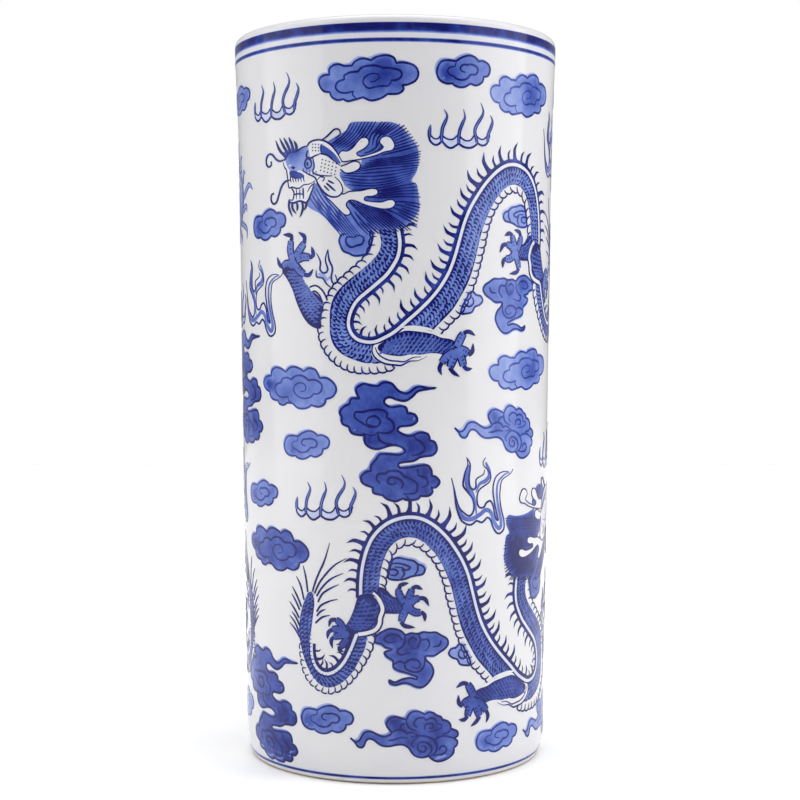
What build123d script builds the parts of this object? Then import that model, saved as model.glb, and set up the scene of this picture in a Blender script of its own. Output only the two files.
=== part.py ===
from build123d import *
import os

# Porcelain umbrella stand: a tall, slightly tapering round jar, open at the top.
# Millimetres, +Z up. The origin is the centre of the foot, on the floor.
# Everything is turned about Z. The outline given here is the glazed surface, and the clay
# lies one glaze thickness under it.

# ---- driving dimensions ----
height = 460.0             # floor to the crown of the lip
lip_radius = 103.6         # outside of the lip, at its widest
lip_round = 4.0            # half-round crown, so the wall is 8 mm thick here
flare_foot_z = 365.0       # where the wall starts to flare out to the lip
flare_foot_radius = 101.0
flare_top_z = 440.0
flare_top_radius = 103.3
heel_top_z = 18.0          # where the wall starts to turn in to the foot
heel_top_radius = 96.8
heel_radius = 43.2         # radius of the turned-in heel
wall_thickness = 7.2       # glazed face to glazed face, just above the floor of the jar
glaze = 0.5                # one coat of glaze
glaze_edge_z = 1.2         # the outside glaze stops here, and the clay is bare below
floor_top_z = 15.5         # glazed floor inside the jar
floor_fillet = 8.0         # inside corner between the floor and the wall
foot_inner_radius = 84.0   # bare foot ring, inner edge
foot_height = 4.5          # height of the foot ring, up to the clay of the floor
foot_edge = 0.6            # small round on the foot ring's edges

# ---- values worked out from them ----
lip_centre_z = height - lip_round
lip_centre_radius = lip_radius - lip_round
inner_top_radius = lip_centre_radius - lip_round
inner_low_z = heel_top_z
inner_low_radius = heel_top_radius - wall_thickness
inner_slope = (inner_top_radius - inner_low_radius) / (lip_centre_z - inner_low_z)


def heel_x(z):
    """Glazed outside radius at a height on the heel's arc."""
    drop = heel_top_z - z
    return heel_top_radius - heel_radius + (heel_radius**2 - drop**2) ** 0.5


def inner_x(z):
    """Glazed inside radius of the straight inside wall at a height."""
    return inner_low_radius + inner_slope * (z - inner_low_z)


def outside_edges(depth, low_z):
    """Outside outline from low_z up to the lip, depth under the glazed surface."""
    low = (heel_x(low_z) - depth, low_z)
    mid_z = (low_z + heel_top_z) / 2
    heel_top = (heel_top_radius - depth, heel_top_z)
    flare_foot = (flare_foot_radius - depth, flare_foot_z)
    flare_top = (flare_top_radius - depth, flare_top_z)
    lip_side = (lip_radius - depth, lip_centre_z)
    heel = ThreePointArc(low, (heel_x(mid_z) - depth, mid_z), heel_top)
    straight = Line(heel_top, flare_foot)
    flare = TangentArc(flare_foot, flare_top, tangent=straight % 1)
    roll = Line(flare_top, lip_side)
    return [heel, straight, flare, roll]


def crown(depth, start_angle, arc_size):
    """Part of the lip's half-round, depth under the glazed surface."""
    return CenterArc((lip_centre_radius, lip_centre_z), lip_round - depth, start_angle, arc_size)


def turned(edges):
    """A closed outline in the radius and height plane, turned about Z."""
    face = make_face(Plane.XZ * Curve(edges))
    return revolve(face, Axis.Z)


def closed(edges):
    """The edges, and a straight one from the last one's end to the first one's start."""
    return [*edges, Line(edges[-1] @ 1, edges[0] @ 0)]


# ---- fired clay ----

def make_wall():
    """Clay wall with its heel and half-round lip, standing on the foot ring."""
    outside = outside_edges(glaze, foot_height)
    over = crown(glaze, 0, 180)
    fillet_z = floor_top_z + floor_fillet
    inside = Line(over @ 1, (inner_x(fillet_z) + glaze, fillet_z))
    behind_floor = Line(inside @ 1, (inner_x(foot_height) + glaze, foot_height))
    return turned(closed([*outside, over, inside, behind_floor]))


def make_floor():
    """Clay floor, a slab luted inside the wall with a fillet of slip round its top."""
    radius = floor_fillet + glaze
    top_z = floor_top_z - glaze
    centre_z = top_z + radius
    wall_low = (inner_x(foot_height) + glaze, foot_height)
    wall_high = (inner_x(centre_z) + glaze, centre_z)
    fillet_end = (wall_high[0] - radius, top_z)
    under = Line((0, foot_height), wall_low)
    side = Line(wall_low, wall_high)
    turn = CenterArc((fillet_end[0], centre_z), radius, 0, -90)
    top = Line(turn @ 1, (0, top_z))
    return turned(closed([under, side, turn, top]))


def make_foot_ring():
    """Bare clay ring that the jar stands on. Its outside carries on the heel."""
    outer_low = heel_x(0) - glaze
    foot = Line((foot_inner_radius + foot_edge, 0), (outer_low - foot_edge, 0))
    outer_start = (heel_x(foot_edge) - glaze, foot_edge)
    edge = Line(foot @ 1, outer_start)
    mid_z = (foot_edge + foot_height) / 2
    outer_end = (heel_x(foot_height) - glaze, foot_height)
    heel = ThreePointArc(outer_start, (heel_x(mid_z) - glaze, mid_z), outer_end)
    top = Line(outer_end, (foot_inner_radius, foot_height))
    inner = Line(top @ 1, (foot_inner_radius, foot_edge))
    return turned(closed([foot, edge, heel, top, inner]))


# ---- coats of glaze ----

def make_outside_glaze():
    """Outside coat, from the line wiped above the foot up to the top of the crown."""
    outer = [*outside_edges(0, glaze_edge_z), crown(0, 0, 90)]
    wall_side = outside_edges(glaze, foot_height)
    heel_clay = ThreePointArc(
        (heel_x(glaze_edge_z) - glaze, glaze_edge_z),
        (heel_x((glaze_edge_z + foot_height) / 2) - glaze, (glaze_edge_z + foot_height) / 2),
        (heel_x(foot_height) - glaze, foot_height),
    )
    inner = [heel_clay, *wall_side, crown(glaze, 0, 90)]
    top = Line(outer[-1] @ 1, inner[-1] @ 1)
    low = Line(inner[0] @ 0, outer[0] @ 0)
    return turned([*outer, top, *inner, low])


def make_inside_glaze():
    """Inside coat, from the top of the crown down the wall and across the floor."""
    top_z = floor_top_z
    centre_z = top_z + floor_fillet

    def run(depth):
        over = crown(depth, 180, -90)
        wall_low = (inner_x(centre_z) + depth, centre_z)
        radius = floor_fillet + depth
        wall = Line(wall_low, over @ 0)
        turn = CenterArc((wall_low[0] - radius, centre_z), radius, -90, 90)
        ground = Line((0, top_z - depth), turn @ 0)
        return [ground, turn, wall, over]

    seen, clay = run(0), run(glaze)
    crest = Line(seen[-1] @ 1, clay[-1] @ 1)
    axis = Line((0, top_z - glaze), (0, top_z))
    return turned([*seen, crest, *clay, axis])


def make_underside_glaze():
    """Coat on the hollow underside, inside the foot ring."""
    low_z = foot_height - glaze
    outline = [
        Line((0, low_z), (foot_inner_radius, low_z)),
        Line((foot_inner_radius, low_z), (foot_inner_radius, foot_height)),
        Line((foot_inner_radius, foot_height), (0, foot_height)),
    ]
    return turned(closed(outline))


makers = {
    "porcelain_wall": make_wall,
    "porcelain_floor": make_floor,
    "foot_ring": make_foot_ring,
    "outside_glaze": make_outside_glaze,
    "inside_glaze": make_inside_glaze,
    "underside_glaze": make_underside_glaze,
}

os.makedirs("parts", exist_ok=True)
for name, make in makers.items():
    piece = make()
    export_step(piece, f"parts/{name}.step")
    print(name, round(piece.volume), "mm3")
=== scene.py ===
import math
import bpy
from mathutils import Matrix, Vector
from mathutils.geometry import delaunay_2d_cdt


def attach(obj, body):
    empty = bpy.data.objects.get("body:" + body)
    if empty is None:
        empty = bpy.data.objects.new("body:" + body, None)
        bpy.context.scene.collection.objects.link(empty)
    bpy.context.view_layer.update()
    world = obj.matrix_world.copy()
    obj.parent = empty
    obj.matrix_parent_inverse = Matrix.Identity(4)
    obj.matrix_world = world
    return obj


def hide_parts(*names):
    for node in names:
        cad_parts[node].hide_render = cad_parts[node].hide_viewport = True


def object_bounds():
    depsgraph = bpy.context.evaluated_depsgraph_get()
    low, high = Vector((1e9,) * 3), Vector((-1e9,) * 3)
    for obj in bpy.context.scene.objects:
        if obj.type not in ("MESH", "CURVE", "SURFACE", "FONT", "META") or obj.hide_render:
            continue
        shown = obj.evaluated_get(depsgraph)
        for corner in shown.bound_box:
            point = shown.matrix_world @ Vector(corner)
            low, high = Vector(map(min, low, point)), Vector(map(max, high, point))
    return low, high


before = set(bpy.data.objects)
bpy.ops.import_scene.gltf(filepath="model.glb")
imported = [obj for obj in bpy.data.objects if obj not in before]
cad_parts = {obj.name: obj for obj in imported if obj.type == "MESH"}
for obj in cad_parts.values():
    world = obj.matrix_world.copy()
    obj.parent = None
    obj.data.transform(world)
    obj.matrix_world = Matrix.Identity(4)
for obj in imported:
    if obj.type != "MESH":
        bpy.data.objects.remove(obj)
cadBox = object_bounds()
print("frame loaded, box in metres:", [round(v, 3) for v in (*cadBox[0], *cadBox[1])])

mm = 0.001
unrollRadius = 100.0  # the painting is laid out flat, 100 mm of it to one radian of the wall


# small helpers for colours and node trees

def linearColour(hexText):
    channels = [int(hexText[i:i + 2], 16) / 255 for i in (1, 3, 5)]
    bent = [c / 12.92 if c <= 0.04045 else ((c + 0.055) / 1.055) ** 2.4 for c in channels]
    return (*bent, 1.0)


def addNode(tree, kind, settings=None, inputs=None):
    node = tree.nodes.new(kind)
    for name, value in (settings or {}).items():
        setattr(node, name, value)
    for key, value in (inputs or {}).items():
        if isinstance(value, bpy.types.NodeSocket):
            tree.links.new(value, node.inputs[key])
        else:
            node.inputs[key].default_value = value
    return node


def addMath(tree, operation, *values, kind="ShaderNodeMath"):
    return addNode(tree, kind, {"operation": operation}, dict(enumerate(values))).outputs[0]


def addVectorMath(tree, operation, *values):
    return addMath(tree, operation, *values, kind="ShaderNodeVectorMath")


def newGeometryTree(name, inputs):
    # each tree takes a geometry and a material besides its own named inputs
    tree = bpy.data.node_groups.new(name, "GeometryNodeTree")
    for label, kind, default in [("Geometry", "Geometry", None), *inputs, ("Material", "Material", None)]:
        socket = tree.interface.new_socket(label, in_out="INPUT", socket_type="NodeSocket" + kind)
        if default is not None:
            socket.default_value = default
    tree.interface.new_socket("Geometry", in_out="OUTPUT", socket_type="NodeSocketGeometry")
    return tree, addNode(tree, "NodeGroupInput").outputs


def closeGeometryTree(tree, given, geometry):
    whole = addNode(tree, "GeometryNodeRealizeInstances", {}, {"Geometry": geometry})
    finished = addNode(tree, "GeometryNodeSetMaterial", {}, {
        "Geometry": whole.outputs[0], "Material": given["Material"]})
    addNode(tree, "NodeGroupOutput", {}, {"Geometry": finished.outputs[0]})
    return tree


def runTree(obj, tree, values):
    modifier = obj.modifiers.new(tree.name, "NODES")
    modifier.node_group = tree
    for item in tree.interface.items_tree:
        if item.in_out == "INPUT" and item.name in values:
            modifier[item.identifier] = values[item.name]
    bpy.context.view_layer.update()
    evaluated = obj.evaluated_get(bpy.context.evaluated_depsgraph_get())
    mesh = bpy.data.meshes.new_from_object(evaluated)
    obj.modifiers.remove(modifier)
    return mesh


def newObject(name, data):
    obj = bpy.data.objects.new(name, data)
    bpy.context.scene.collection.objects.link(obj)
    return obj


glazeFinish = {
    "colour": "#e4e3e5",       # the white of the fired glaze
    "patchColour": "#dddde2",  # cooler, where the coat pools a little thicker
    "patchMm": 60.0,
    "patchDetail": 2.0,
    "grainMm": 9.0,            # brush-laid unevenness of the coat
    "grainDetail": 1.0,
    "grainDepthMm": 0.02,
    "grainStrength": 1.0,
    "roughness": 0.12,
    "refraction": 1.5,
}
cobaltFinish = glazeFinish | {
    "refraction": 1.38,
    "mottleMm": 11.0,          # the blue mottles as it fires
    "mottle": (0.82, 1.18),    # from the least to the most of the brushed amount
    "steps": {                 # how much cobalt lies there, and its fired colour
        0.0: "#ffffff",
        0.22: "#a6b4e2",       # below this much, the glaze's own white shows through
        0.42: "#6e84cd",
        0.62: "#4157ad",
        0.80: "#273890",
        1.0: "#141762",
    },
}
footFinish = {
    "colour": "#d9c7ae",
    "patchColour": "#b89a78",  # where the kiln has toasted the bare clay
    "patchMm": 14.0,
    "patchDetail": 4.0,
    "grainMm": 1.2,            # the grit in the clay
    "grainDetail": 2.0,
    "grainDepthMm": 0.1,
    "grainStrength": 0.6,
    "roughness": 0.75,
    "refraction": 1.5,
}
clayFinish = footFinish | {"colour": "#ece7dd", "patchColour": "#ded5c6", "grainMm": 0.8}


def startMaterial(name):
    material = bpy.data.materials.new(name)
    material.use_nodes = True
    tree = material.node_tree
    tree.nodes.clear()
    return material, tree


def addNoise(tree, place, sizeMm, detail, roughness=0.5):
    return addNode(tree, "ShaderNodeTexNoise", {}, {
        "Vector": place, "Scale": 1 / (sizeMm * mm), "Detail": detail,
        "Roughness": roughness}).outputs["Fac"]


def mixColours(tree, factor, first, second):
    return addNode(tree, "ShaderNodeMix", {"data_type": "RGBA"}, {
        "Factor": factor, "A": first, "B": second}).outputs["Result"]


def makeMaterial(name, finish):
    material, tree = startMaterial(name)
    place = addNode(tree, "ShaderNodeTexCoord").outputs["Object"]
    patches = addNoise(tree, place, finish["patchMm"], finish["patchDetail"])
    colour = mixColours(tree, patches, linearColour(finish["colour"]), linearColour(finish["patchColour"]))
    if "steps" in finish:
        colour = addCobalt(tree, place, colour, finish)
    bump = addNode(tree, "ShaderNodeBump", {}, {
        "Height": addNoise(tree, place, finish["grainMm"], finish["grainDetail"]),
        "Strength": finish["grainStrength"], "Distance": finish["grainDepthMm"] * mm})
    shader = addNode(tree, "ShaderNodeBsdfPrincipled", {}, {
        "Base Color": colour, "Normal": bump.outputs["Normal"],
        "Roughness": finish["roughness"], "IOR": finish["refraction"]})
    addNode(tree, "ShaderNodeOutputMaterial", {}, {"Surface": shader.outputs["BSDF"]})
    return material


# Cobalt is brushed on thin as a wash and thick as a line, and the attribute "pigment" says how
# much of it each brush mark holds.
def addCobalt(tree, place, white, finish):
    pigment = addNode(tree, "ShaderNodeAttribute", {"attribute_name": "pigment"}).outputs["Fac"]
    low, high = finish["mottle"]
    mottle = addNode(tree, "ShaderNodeMapRange", {}, {
        "Value": addNoise(tree, place, finish["mottleMm"], 3.0, 0.6),
        "From Min": 0.3, "From Max": 0.7, "To Min": low, "To Max": high})
    amount = addNode(tree, "ShaderNodeMath", {"operation": "MULTIPLY", "use_clamp": True}, {
        0: pigment, 1: mottle.outputs["Result"]}).outputs[0]
    ramp = addNode(tree, "ShaderNodeValToRGB", {}, {"Fac": amount})
    steps = ramp.color_ramp.elements
    for position, hexText in finish["steps"].items():
        step = {0.0: steps[0], 1.0: steps[-1]}.get(position) or steps.new(position)
        step.position = position
        step.color = linearColour(hexText)
    thin = addNode(tree, "ShaderNodeMapRange", {}, {
        "Value": amount, "From Max": sorted(finish["steps"])[1]})
    return mixColours(tree, thin.outputs["Result"], white, ramp.outputs["Color"])


# Glazed porcelain, fired at about 1300 C: a clear glassy coat over a white body, glossy and very
# slightly uneven.
clearGlaze = makeMaterial("clear_glaze_on_porcelain", glazeFinish)
# The same coat over brushed cobalt oxide, which fires to blue.
cobaltGlaze = makeMaterial("underglaze_cobalt_blue", cobaltFinish)
# Porcelain clay left bare on the foot: unglazed, matt and a little warm.
bareFoot = makeMaterial("bare_fired_clay_foot", footFinish)
# The fired body under the glaze, which hardly shows.
firedClay = makeMaterial("fired_porcelain_clay", clayFinish)
print("materials made")


jarSizes = {                   # mm, radii and heights of the glazed surface
    "lipRadius": 103.6,
    "lipRound": 4.0,
    "flareTopRadius": 103.3,
    "flareTop": 440.0,
    "flareFootRadius": 101.0,
    "flareFoot": 365.0,
    "heelTopRadius": 96.8,
    "heelTop": 18.0,
    "heelRound": 43.2,
    "wall": 7.2,
    "glaze": 0.5,
    "glazeEdge": 1.2,
    "floorTop": 15.5,
    "floorFillet": 8.0,
    "footInner": 84.0,
    "footHeight": 4.5,
    "footEdge": 0.6,
    "segments": 360,
    "roundPoints": 9,          # along each quarter turn of the outline
}
jarHeight = (cadBox[1][2] - cadBox[0][2]) / mm
lipCentreHeight = jarHeight - jarSizes["lipRound"]
lipCentreRadius = jarSizes["lipRadius"] - jarSizes["lipRound"]


def outsideRadius(z):
    s = jarSizes
    rise = (s["flareFootRadius"] - s["heelTopRadius"]) / (s["flareFoot"] - s["heelTop"])
    if z < s["heelTop"]:
        drop = s["heelTop"] - z
        return s["heelTopRadius"] - s["heelRound"] + math.sqrt(s["heelRound"] ** 2 - drop ** 2)
    if z < s["flareFoot"]:
        return s["heelTopRadius"] + rise * (z - s["heelTop"])
    if z > s["flareTop"]:
        part = (z - s["flareTop"]) / (lipCentreHeight - s["flareTop"])
        return s["flareTopRadius"] + part * (s["lipRadius"] - s["flareTopRadius"])
    run = s["flareTop"] - s["flareFoot"]
    bend = (s["flareTopRadius"] - s["flareFootRadius"] - rise * run) / run ** 2
    return s["flareFootRadius"] + rise * (z - s["flareFoot"]) + bend * (z - s["flareFoot"]) ** 2


def insideRadius(z):
    s = jarSizes
    low = s["heelTopRadius"] - s["wall"]
    top = lipCentreRadius - s["lipRound"]
    return low + (top - low) * (z - s["heelTop"]) / (lipCentreHeight - s["heelTop"])


def spread(low, high, count):
    return [low + (high - low) * i / (count - 1) for i in range(count)]


def quarterTurn(centre, radius, start, end):
    angles = [math.radians(a) for a in spread(start, end, jarSizes["roundPoints"])]
    return [(centre[0] + radius * math.cos(a), centre[1] + radius * math.sin(a)) for a in angles]


def lipTurn(depth, start):
    return quarterTurn((lipCentreRadius, lipCentreHeight), jarSizes["lipRound"] - depth, start, 90)


def outsideOutline(depth):
    s = jarSizes
    stops = [(s["glazeEdge"], 10), (s["heelTop"], 30), (s["flareFoot"], 13), (s["flareTop"], 4)]
    tops = [height for height, count in stops[1:]] + [lipCentreHeight]
    heights = [z for (low, count), top in zip(stops, tops) for z in spread(low, top, count)[:-1]]
    return [(outsideRadius(z) - depth, z) for z in heights] + lipTurn(depth, 0)


def insideOutline(depth):
    s = jarSizes
    centreHeight = s["floorTop"] + s["floorFillet"]
    radius = s["floorFillet"] + depth
    wallLow = insideRadius(centreHeight) + depth
    ground = [(r, s["floorTop"] - depth) for r in spread(0, wallLow - radius, 9)[:-1]]
    turn = quarterTurn((wallLow - radius, centreHeight), radius, -90, 0)
    wall = [(insideRadius(z) + depth, z) for z in spread(centreHeight, lipCentreHeight, 32)[1:-1]]
    return ground + turn + wall + lipTurn(depth, 180)


# Turns an outline, given as a row of points in the XZ plane, about Z.
def makeTurnTree():
    tree, given = newGeometryTree("turnOutline", [("Segments", "Int", 360)])
    size = addNode(tree, "GeometryNodeAttributeDomainSize", {}, {"Geometry": given["Geometry"]})
    count = size.outputs["Point Count"]
    grid = addNode(tree, "GeometryNodeMeshGrid", {}, {
        "Vertices X": addMath(tree, "ADD", given["Segments"], 1.0), "Vertices Y": count})
    index = addNode(tree, "GeometryNodeInputIndex").outputs[0]
    column = addMath(tree, "FLOOR", addMath(tree, "DIVIDE", index, count))
    point = addNode(tree, "GeometryNodeSampleIndex", {"data_type": "FLOAT_VECTOR"}, {
        "Geometry": given["Geometry"], "Index": addMath(tree, "MODULO", index, count),
        "Value": addNode(tree, "GeometryNodeInputPosition").outputs[0]})
    part = addMath(tree, "DIVIDE", column, given["Segments"])
    turned = addNode(tree, "ShaderNodeVectorRotate", {"rotation_type": "Z_AXIS"}, {
        "Vector": point.outputs[0], "Angle": addMath(tree, "MULTIPLY", part, 2 * math.pi)})
    placed = addNode(tree, "GeometryNodeSetPosition", {}, {
        "Geometry": grid.outputs["Mesh"], "Position": turned.outputs[0]})
    merged = addNode(tree, "GeometryNodeMergeByDistance", {}, {
        "Geometry": placed.outputs[0], "Distance": 1e-6})
    smooth = addNode(tree, "GeometryNodeSetShadeSmooth", {}, {"Geometry": merged.outputs[0]})
    return closeGeometryTree(tree, given, smooth.outputs[0])


def turnPiece(name, outline, material, node):
    mesh = bpy.data.meshes.new(name)
    mesh.from_pydata([(r * mm, 0, z * mm) for r, z in outline], [], [])
    piece = newObject(name, mesh)
    piece.data = runTree(piece, turnTree, {"Segments": jarSizes["segments"], "Material": material})
    piece.data.set_sharp_from_angle(angle=math.radians(35))
    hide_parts(node)
    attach(piece, "root")
    return piece


def undersideOutline():
    inner, high = jarSizes["footInner"], jarSizes["footHeight"]
    low = high - jarSizes["glaze"]
    return [(0, low), (inner, low), (inner, high), (0, high)]


def footOutline():
    inner, high, edge = jarSizes["footInner"], jarSizes["footHeight"], jarSizes["footEdge"]
    outer = [(outsideRadius(z) - jarSizes["glaze"], z) for z in spread(edge, high, 4)]
    tread = [(inner + edge, 0), (outsideRadius(0) - jarSizes["glaze"] - edge, 0)]
    return tread + outer + [(inner, high), (inner, edge), tread[0]]


turnTree = makeTurnTree()
outsideSkin = outsideOutline(0)
outsideShell = outsideSkin + outsideOutline(jarSizes["glaze"])[::-1] + outsideSkin[:1]
outsideGlaze = turnPiece("outside_clear_glaze", outsideShell, clearGlaze, "outside_glaze")
insideShell = insideOutline(jarSizes["glaze"]) + insideOutline(0)[::-1]
turnPiece("inside_clear_glaze", insideShell, clearGlaze, "inside_glaze")
turnPiece("underside_clear_glaze", undersideOutline(), clearGlaze, "underside_glaze")
turnPiece("foot_ring_bare", footOutline(), bareFoot, "foot_ring")
for node in ("porcelain_wall", "porcelain_floor"):
    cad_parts[node].data.materials.clear()
    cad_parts[node].data.materials.append(firedClay)
print("jar turned")


# The painting is drawn flat, across in mm of arc and up in mm, and then laid on the wall.

paintLayers = {                # mm above the glaze
    "first": 0.12,
    "step": 0.022,             # from one layer of brush marks to the next
    "foot": -0.03,             # where each mark is rooted in the glaze
}
brush = {                      # mm
    "lineStep": 1.6,           # between the points of a line
    "edgeStep": 2.2,           # between the points round a wash
    "washPitch": 3.4,          # between the points inside a wash
    "pressing": 0.2,           # share of a line over which the brush is pressed down
    "lifting": 0.4,            # share over which it is lifted again
}


# 0 and 1 are washes, 2 and 3 scales and lines, 4 to 6 legs and mane, 7 and 8 antlers, 8 to 10 toes,
# 9 to 11 the head, and 12 its eye and dots
def layer(number):
    return paintLayers["first"] + number * paintLayers["step"]


def newSheet():
    return {"points": [], "pigment": [], "faces": []}


def between(first, last, t):
    return [((1 - t) * a[0] + t * b[0], (1 - t) * a[1] + t * b[1]) for a, b in zip(first, last)]


def smoothPath(points, closed=False, step=brush["lineStep"]):
    # a curve through the points; a point given twice is a corner
    count = len(points)
    path = []
    for i in range(count if closed else count - 1):
        near = [i - 1, i, i + 1, i + 2]
        near = [k % count if closed else min(max(k, 0), count - 1) for k in near]
        a, b, c, d = (points[k] for k in near)
        pieces = math.ceil(math.dist(b, c) / step)
        for j in range(pieces):
            t = j / pieces
            path.append(tuple(
                q + 0.5 * t * (r - p + t * (2 * p - 5 * q + 4 * r - s + t * (3 * (q - r) + s - p)))
                for p, q, r, s in zip(a, b, c, d)))
    return path if closed else path + [tuple(points[-1])]


def sideways(path, closed=False):
    # unit vectors to the left of a path
    count = len(path)
    normals = []
    for i in range(count):
        before = path[i - 1] if closed or i else path[0]
        after = path[(i + 1) % count] if closed or i + 1 < count else path[-1]
        dx, dy = after[0] - before[0], after[1] - before[1]
        length = math.hypot(dx, dy) or 1
        normals.append((-dy / length, dx / length))
    return normals


def shifted(path, distance):
    return [(x + distance * nx, y + distance * ny) for (x, y), (nx, ny) in zip(path, sideways(path))]


def addSlab(sheet, points, pigments, faces, lift):
    # a thin closed plate: its top shows, and its underside is rooted in the glaze
    first, count = len(sheet["points"]), len(points)
    sheet["points"] += [(x, y, lift) for x, y in points]
    sheet["points"] += [(x, y, paintLayers["foot"]) for x, y in points]
    sheet["pigment"] += list(pigments) * 2
    edges = {(a, b) for face in faces for a, b in zip(face, face[1:] + face[:1])}
    rim = sorted((a, b) for a, b in edges if (b, a) not in edges)
    sheet["faces"] += [tuple(first + i for i in face) for face in faces]
    sheet["faces"] += [tuple(first + count + i for i in reversed(face)) for face in faces]
    sheet["faces"] += [(first + b, first + a, first + count + a, first + count + b) for a, b in rim]


def brushLine(sheet, points, width=1.2, pigment=0.95, level=3, ends=(0.45, 0.15), closed=False,
              step=brush["lineStep"]):
    # ends are the shares of the width that the line starts and stops with
    path = smoothPath(points, closed, step)
    count = len(path)
    left, right = [], []
    for i, ((x, y), (nx, ny)) in enumerate(zip(path, sideways(path, closed))):
        along = i / (count - 1)
        start = ends[0] + (1 - ends[0]) * along / brush["pressing"]
        stop = ends[1] + (1 - ends[1]) * (1 - along) / brush["lifting"]
        half = width / 2 * (1.0 if closed else min(1, start, stop))
        left.append((x + nx * half, y + ny * half))
        right.append((x - nx * half, y - ny * half))
    last = count if closed else count - 1
    faces = [(i, (i + 1) % count, count + (i + 1) % count, count + i) for i in range(last)]
    addSlab(sheet, right + left, [pigment] * 2 * count, faces, layer(level))


def isInside(outline, x, y):
    inside = False
    for (x0, y0), (x1, y1) in zip(outline, outline[1:] + outline[:1]):
        if (y0 > y) != (y1 > y) and x < x0 + (y - y0) * (x1 - x0) / (y1 - y0):
            inside = not inside
    return inside


def fillShape(sheet, outline, pigment=0.45, level=0, edge=None, pools=(), pitch=brush["washPitch"]):
    # a wash inside an outline; pools are darker places, each (x, y, radius, more pigment)
    rim = smoothPath(outline, True, brush["edgeStep"])
    (lowX, highX), (lowY, highY) = ((min(side), max(side)) for side in zip(*rim))
    inner = []
    for row in range(int((highY - lowY) / pitch) + 1):
        y = lowY + (row + 0.5) * pitch
        for column in range(int((highX - lowX) / pitch) + 1):
            x = lowX + (column + 0.5 * (row % 2) + 0.3) * pitch
            if isInside(rim, x, y) and min(math.dist((x, y), p) for p in rim) > 0.55 * pitch:
                inner.append((x, y))
    spots, _, triangles, sources, *_ = delaunay_2d_cdt(
        [Vector(p) for p in rim + inner], [], [list(range(len(rim)))], 1, 1e-5)
    pigments = []
    for spot, source in zip(spots, sources):
        amount = pigment
        for x, y, radius, more in pools:
            amount += more * math.exp(-(math.dist(spot, (x, y)) / radius) ** 2)
        if edge is not None and (not source or min(source) < len(rim)):
            amount = edge
        pigments.append(amount)
    faces = []
    for a, b, c in triangles:
        area = (spots[b] - spots[a]).cross(spots[c] - spots[a])
        faces.append((a, b, c) if area > 0 else (a, c, b))
    addSlab(sheet, [tuple(spot) for spot in spots], pigments, faces, layer(level))


def outlined(sheet, points, width, pigment, level, ends=(1, 1), line=1.1, dark=0.95):
    # a brush mark with a darker edge drawn round it
    brushLine(sheet, points, width + 2 * line, dark, level, ends)
    brushLine(sheet, points, width, pigment, level + 1, ends)


def addMesh(sheet, mesh):
    first = len(sheet["points"])
    sheet["points"] += [(v.co.x / mm, v.co.y / mm, v.co.z / mm) for v in mesh.vertices]
    sheet["pigment"] += [entry.value for entry in mesh.attributes["pigment"].data]
    sheet["faces"] += [tuple(first + i for i in face.vertices) for face in mesh.polygons]


def flatObject(name, sheet, mirrorAt=None, shift=(0, 0)):
    # mirrorAt is the sum of a point's place and its mirror image's place
    sign, base = (1, shift[0]) if mirrorAt is None else (-1, mirrorAt)
    mesh = bpy.data.meshes.new(name)
    points = [((base + sign * x) * mm, (y + shift[1]) * mm, z * mm) for x, y, z in sheet["points"]]
    faces = sheet["faces"] if sign > 0 else [tuple(reversed(face)) for face in sheet["faces"]]
    mesh.from_pydata(points, [], faces)
    mesh.attributes.new("pigment", "FLOAT", "POINT").data.foreach_set("value", sheet["pigment"])
    return newObject(name, mesh)


def addChance(tree, seed):
    return addNode(tree, "FunctionNodeRandomValue", {"data_type": "FLOAT"}, {
        "Min": -1.0, "Max": 1.0, "Seed": seed}).outputs["Value"]


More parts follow.
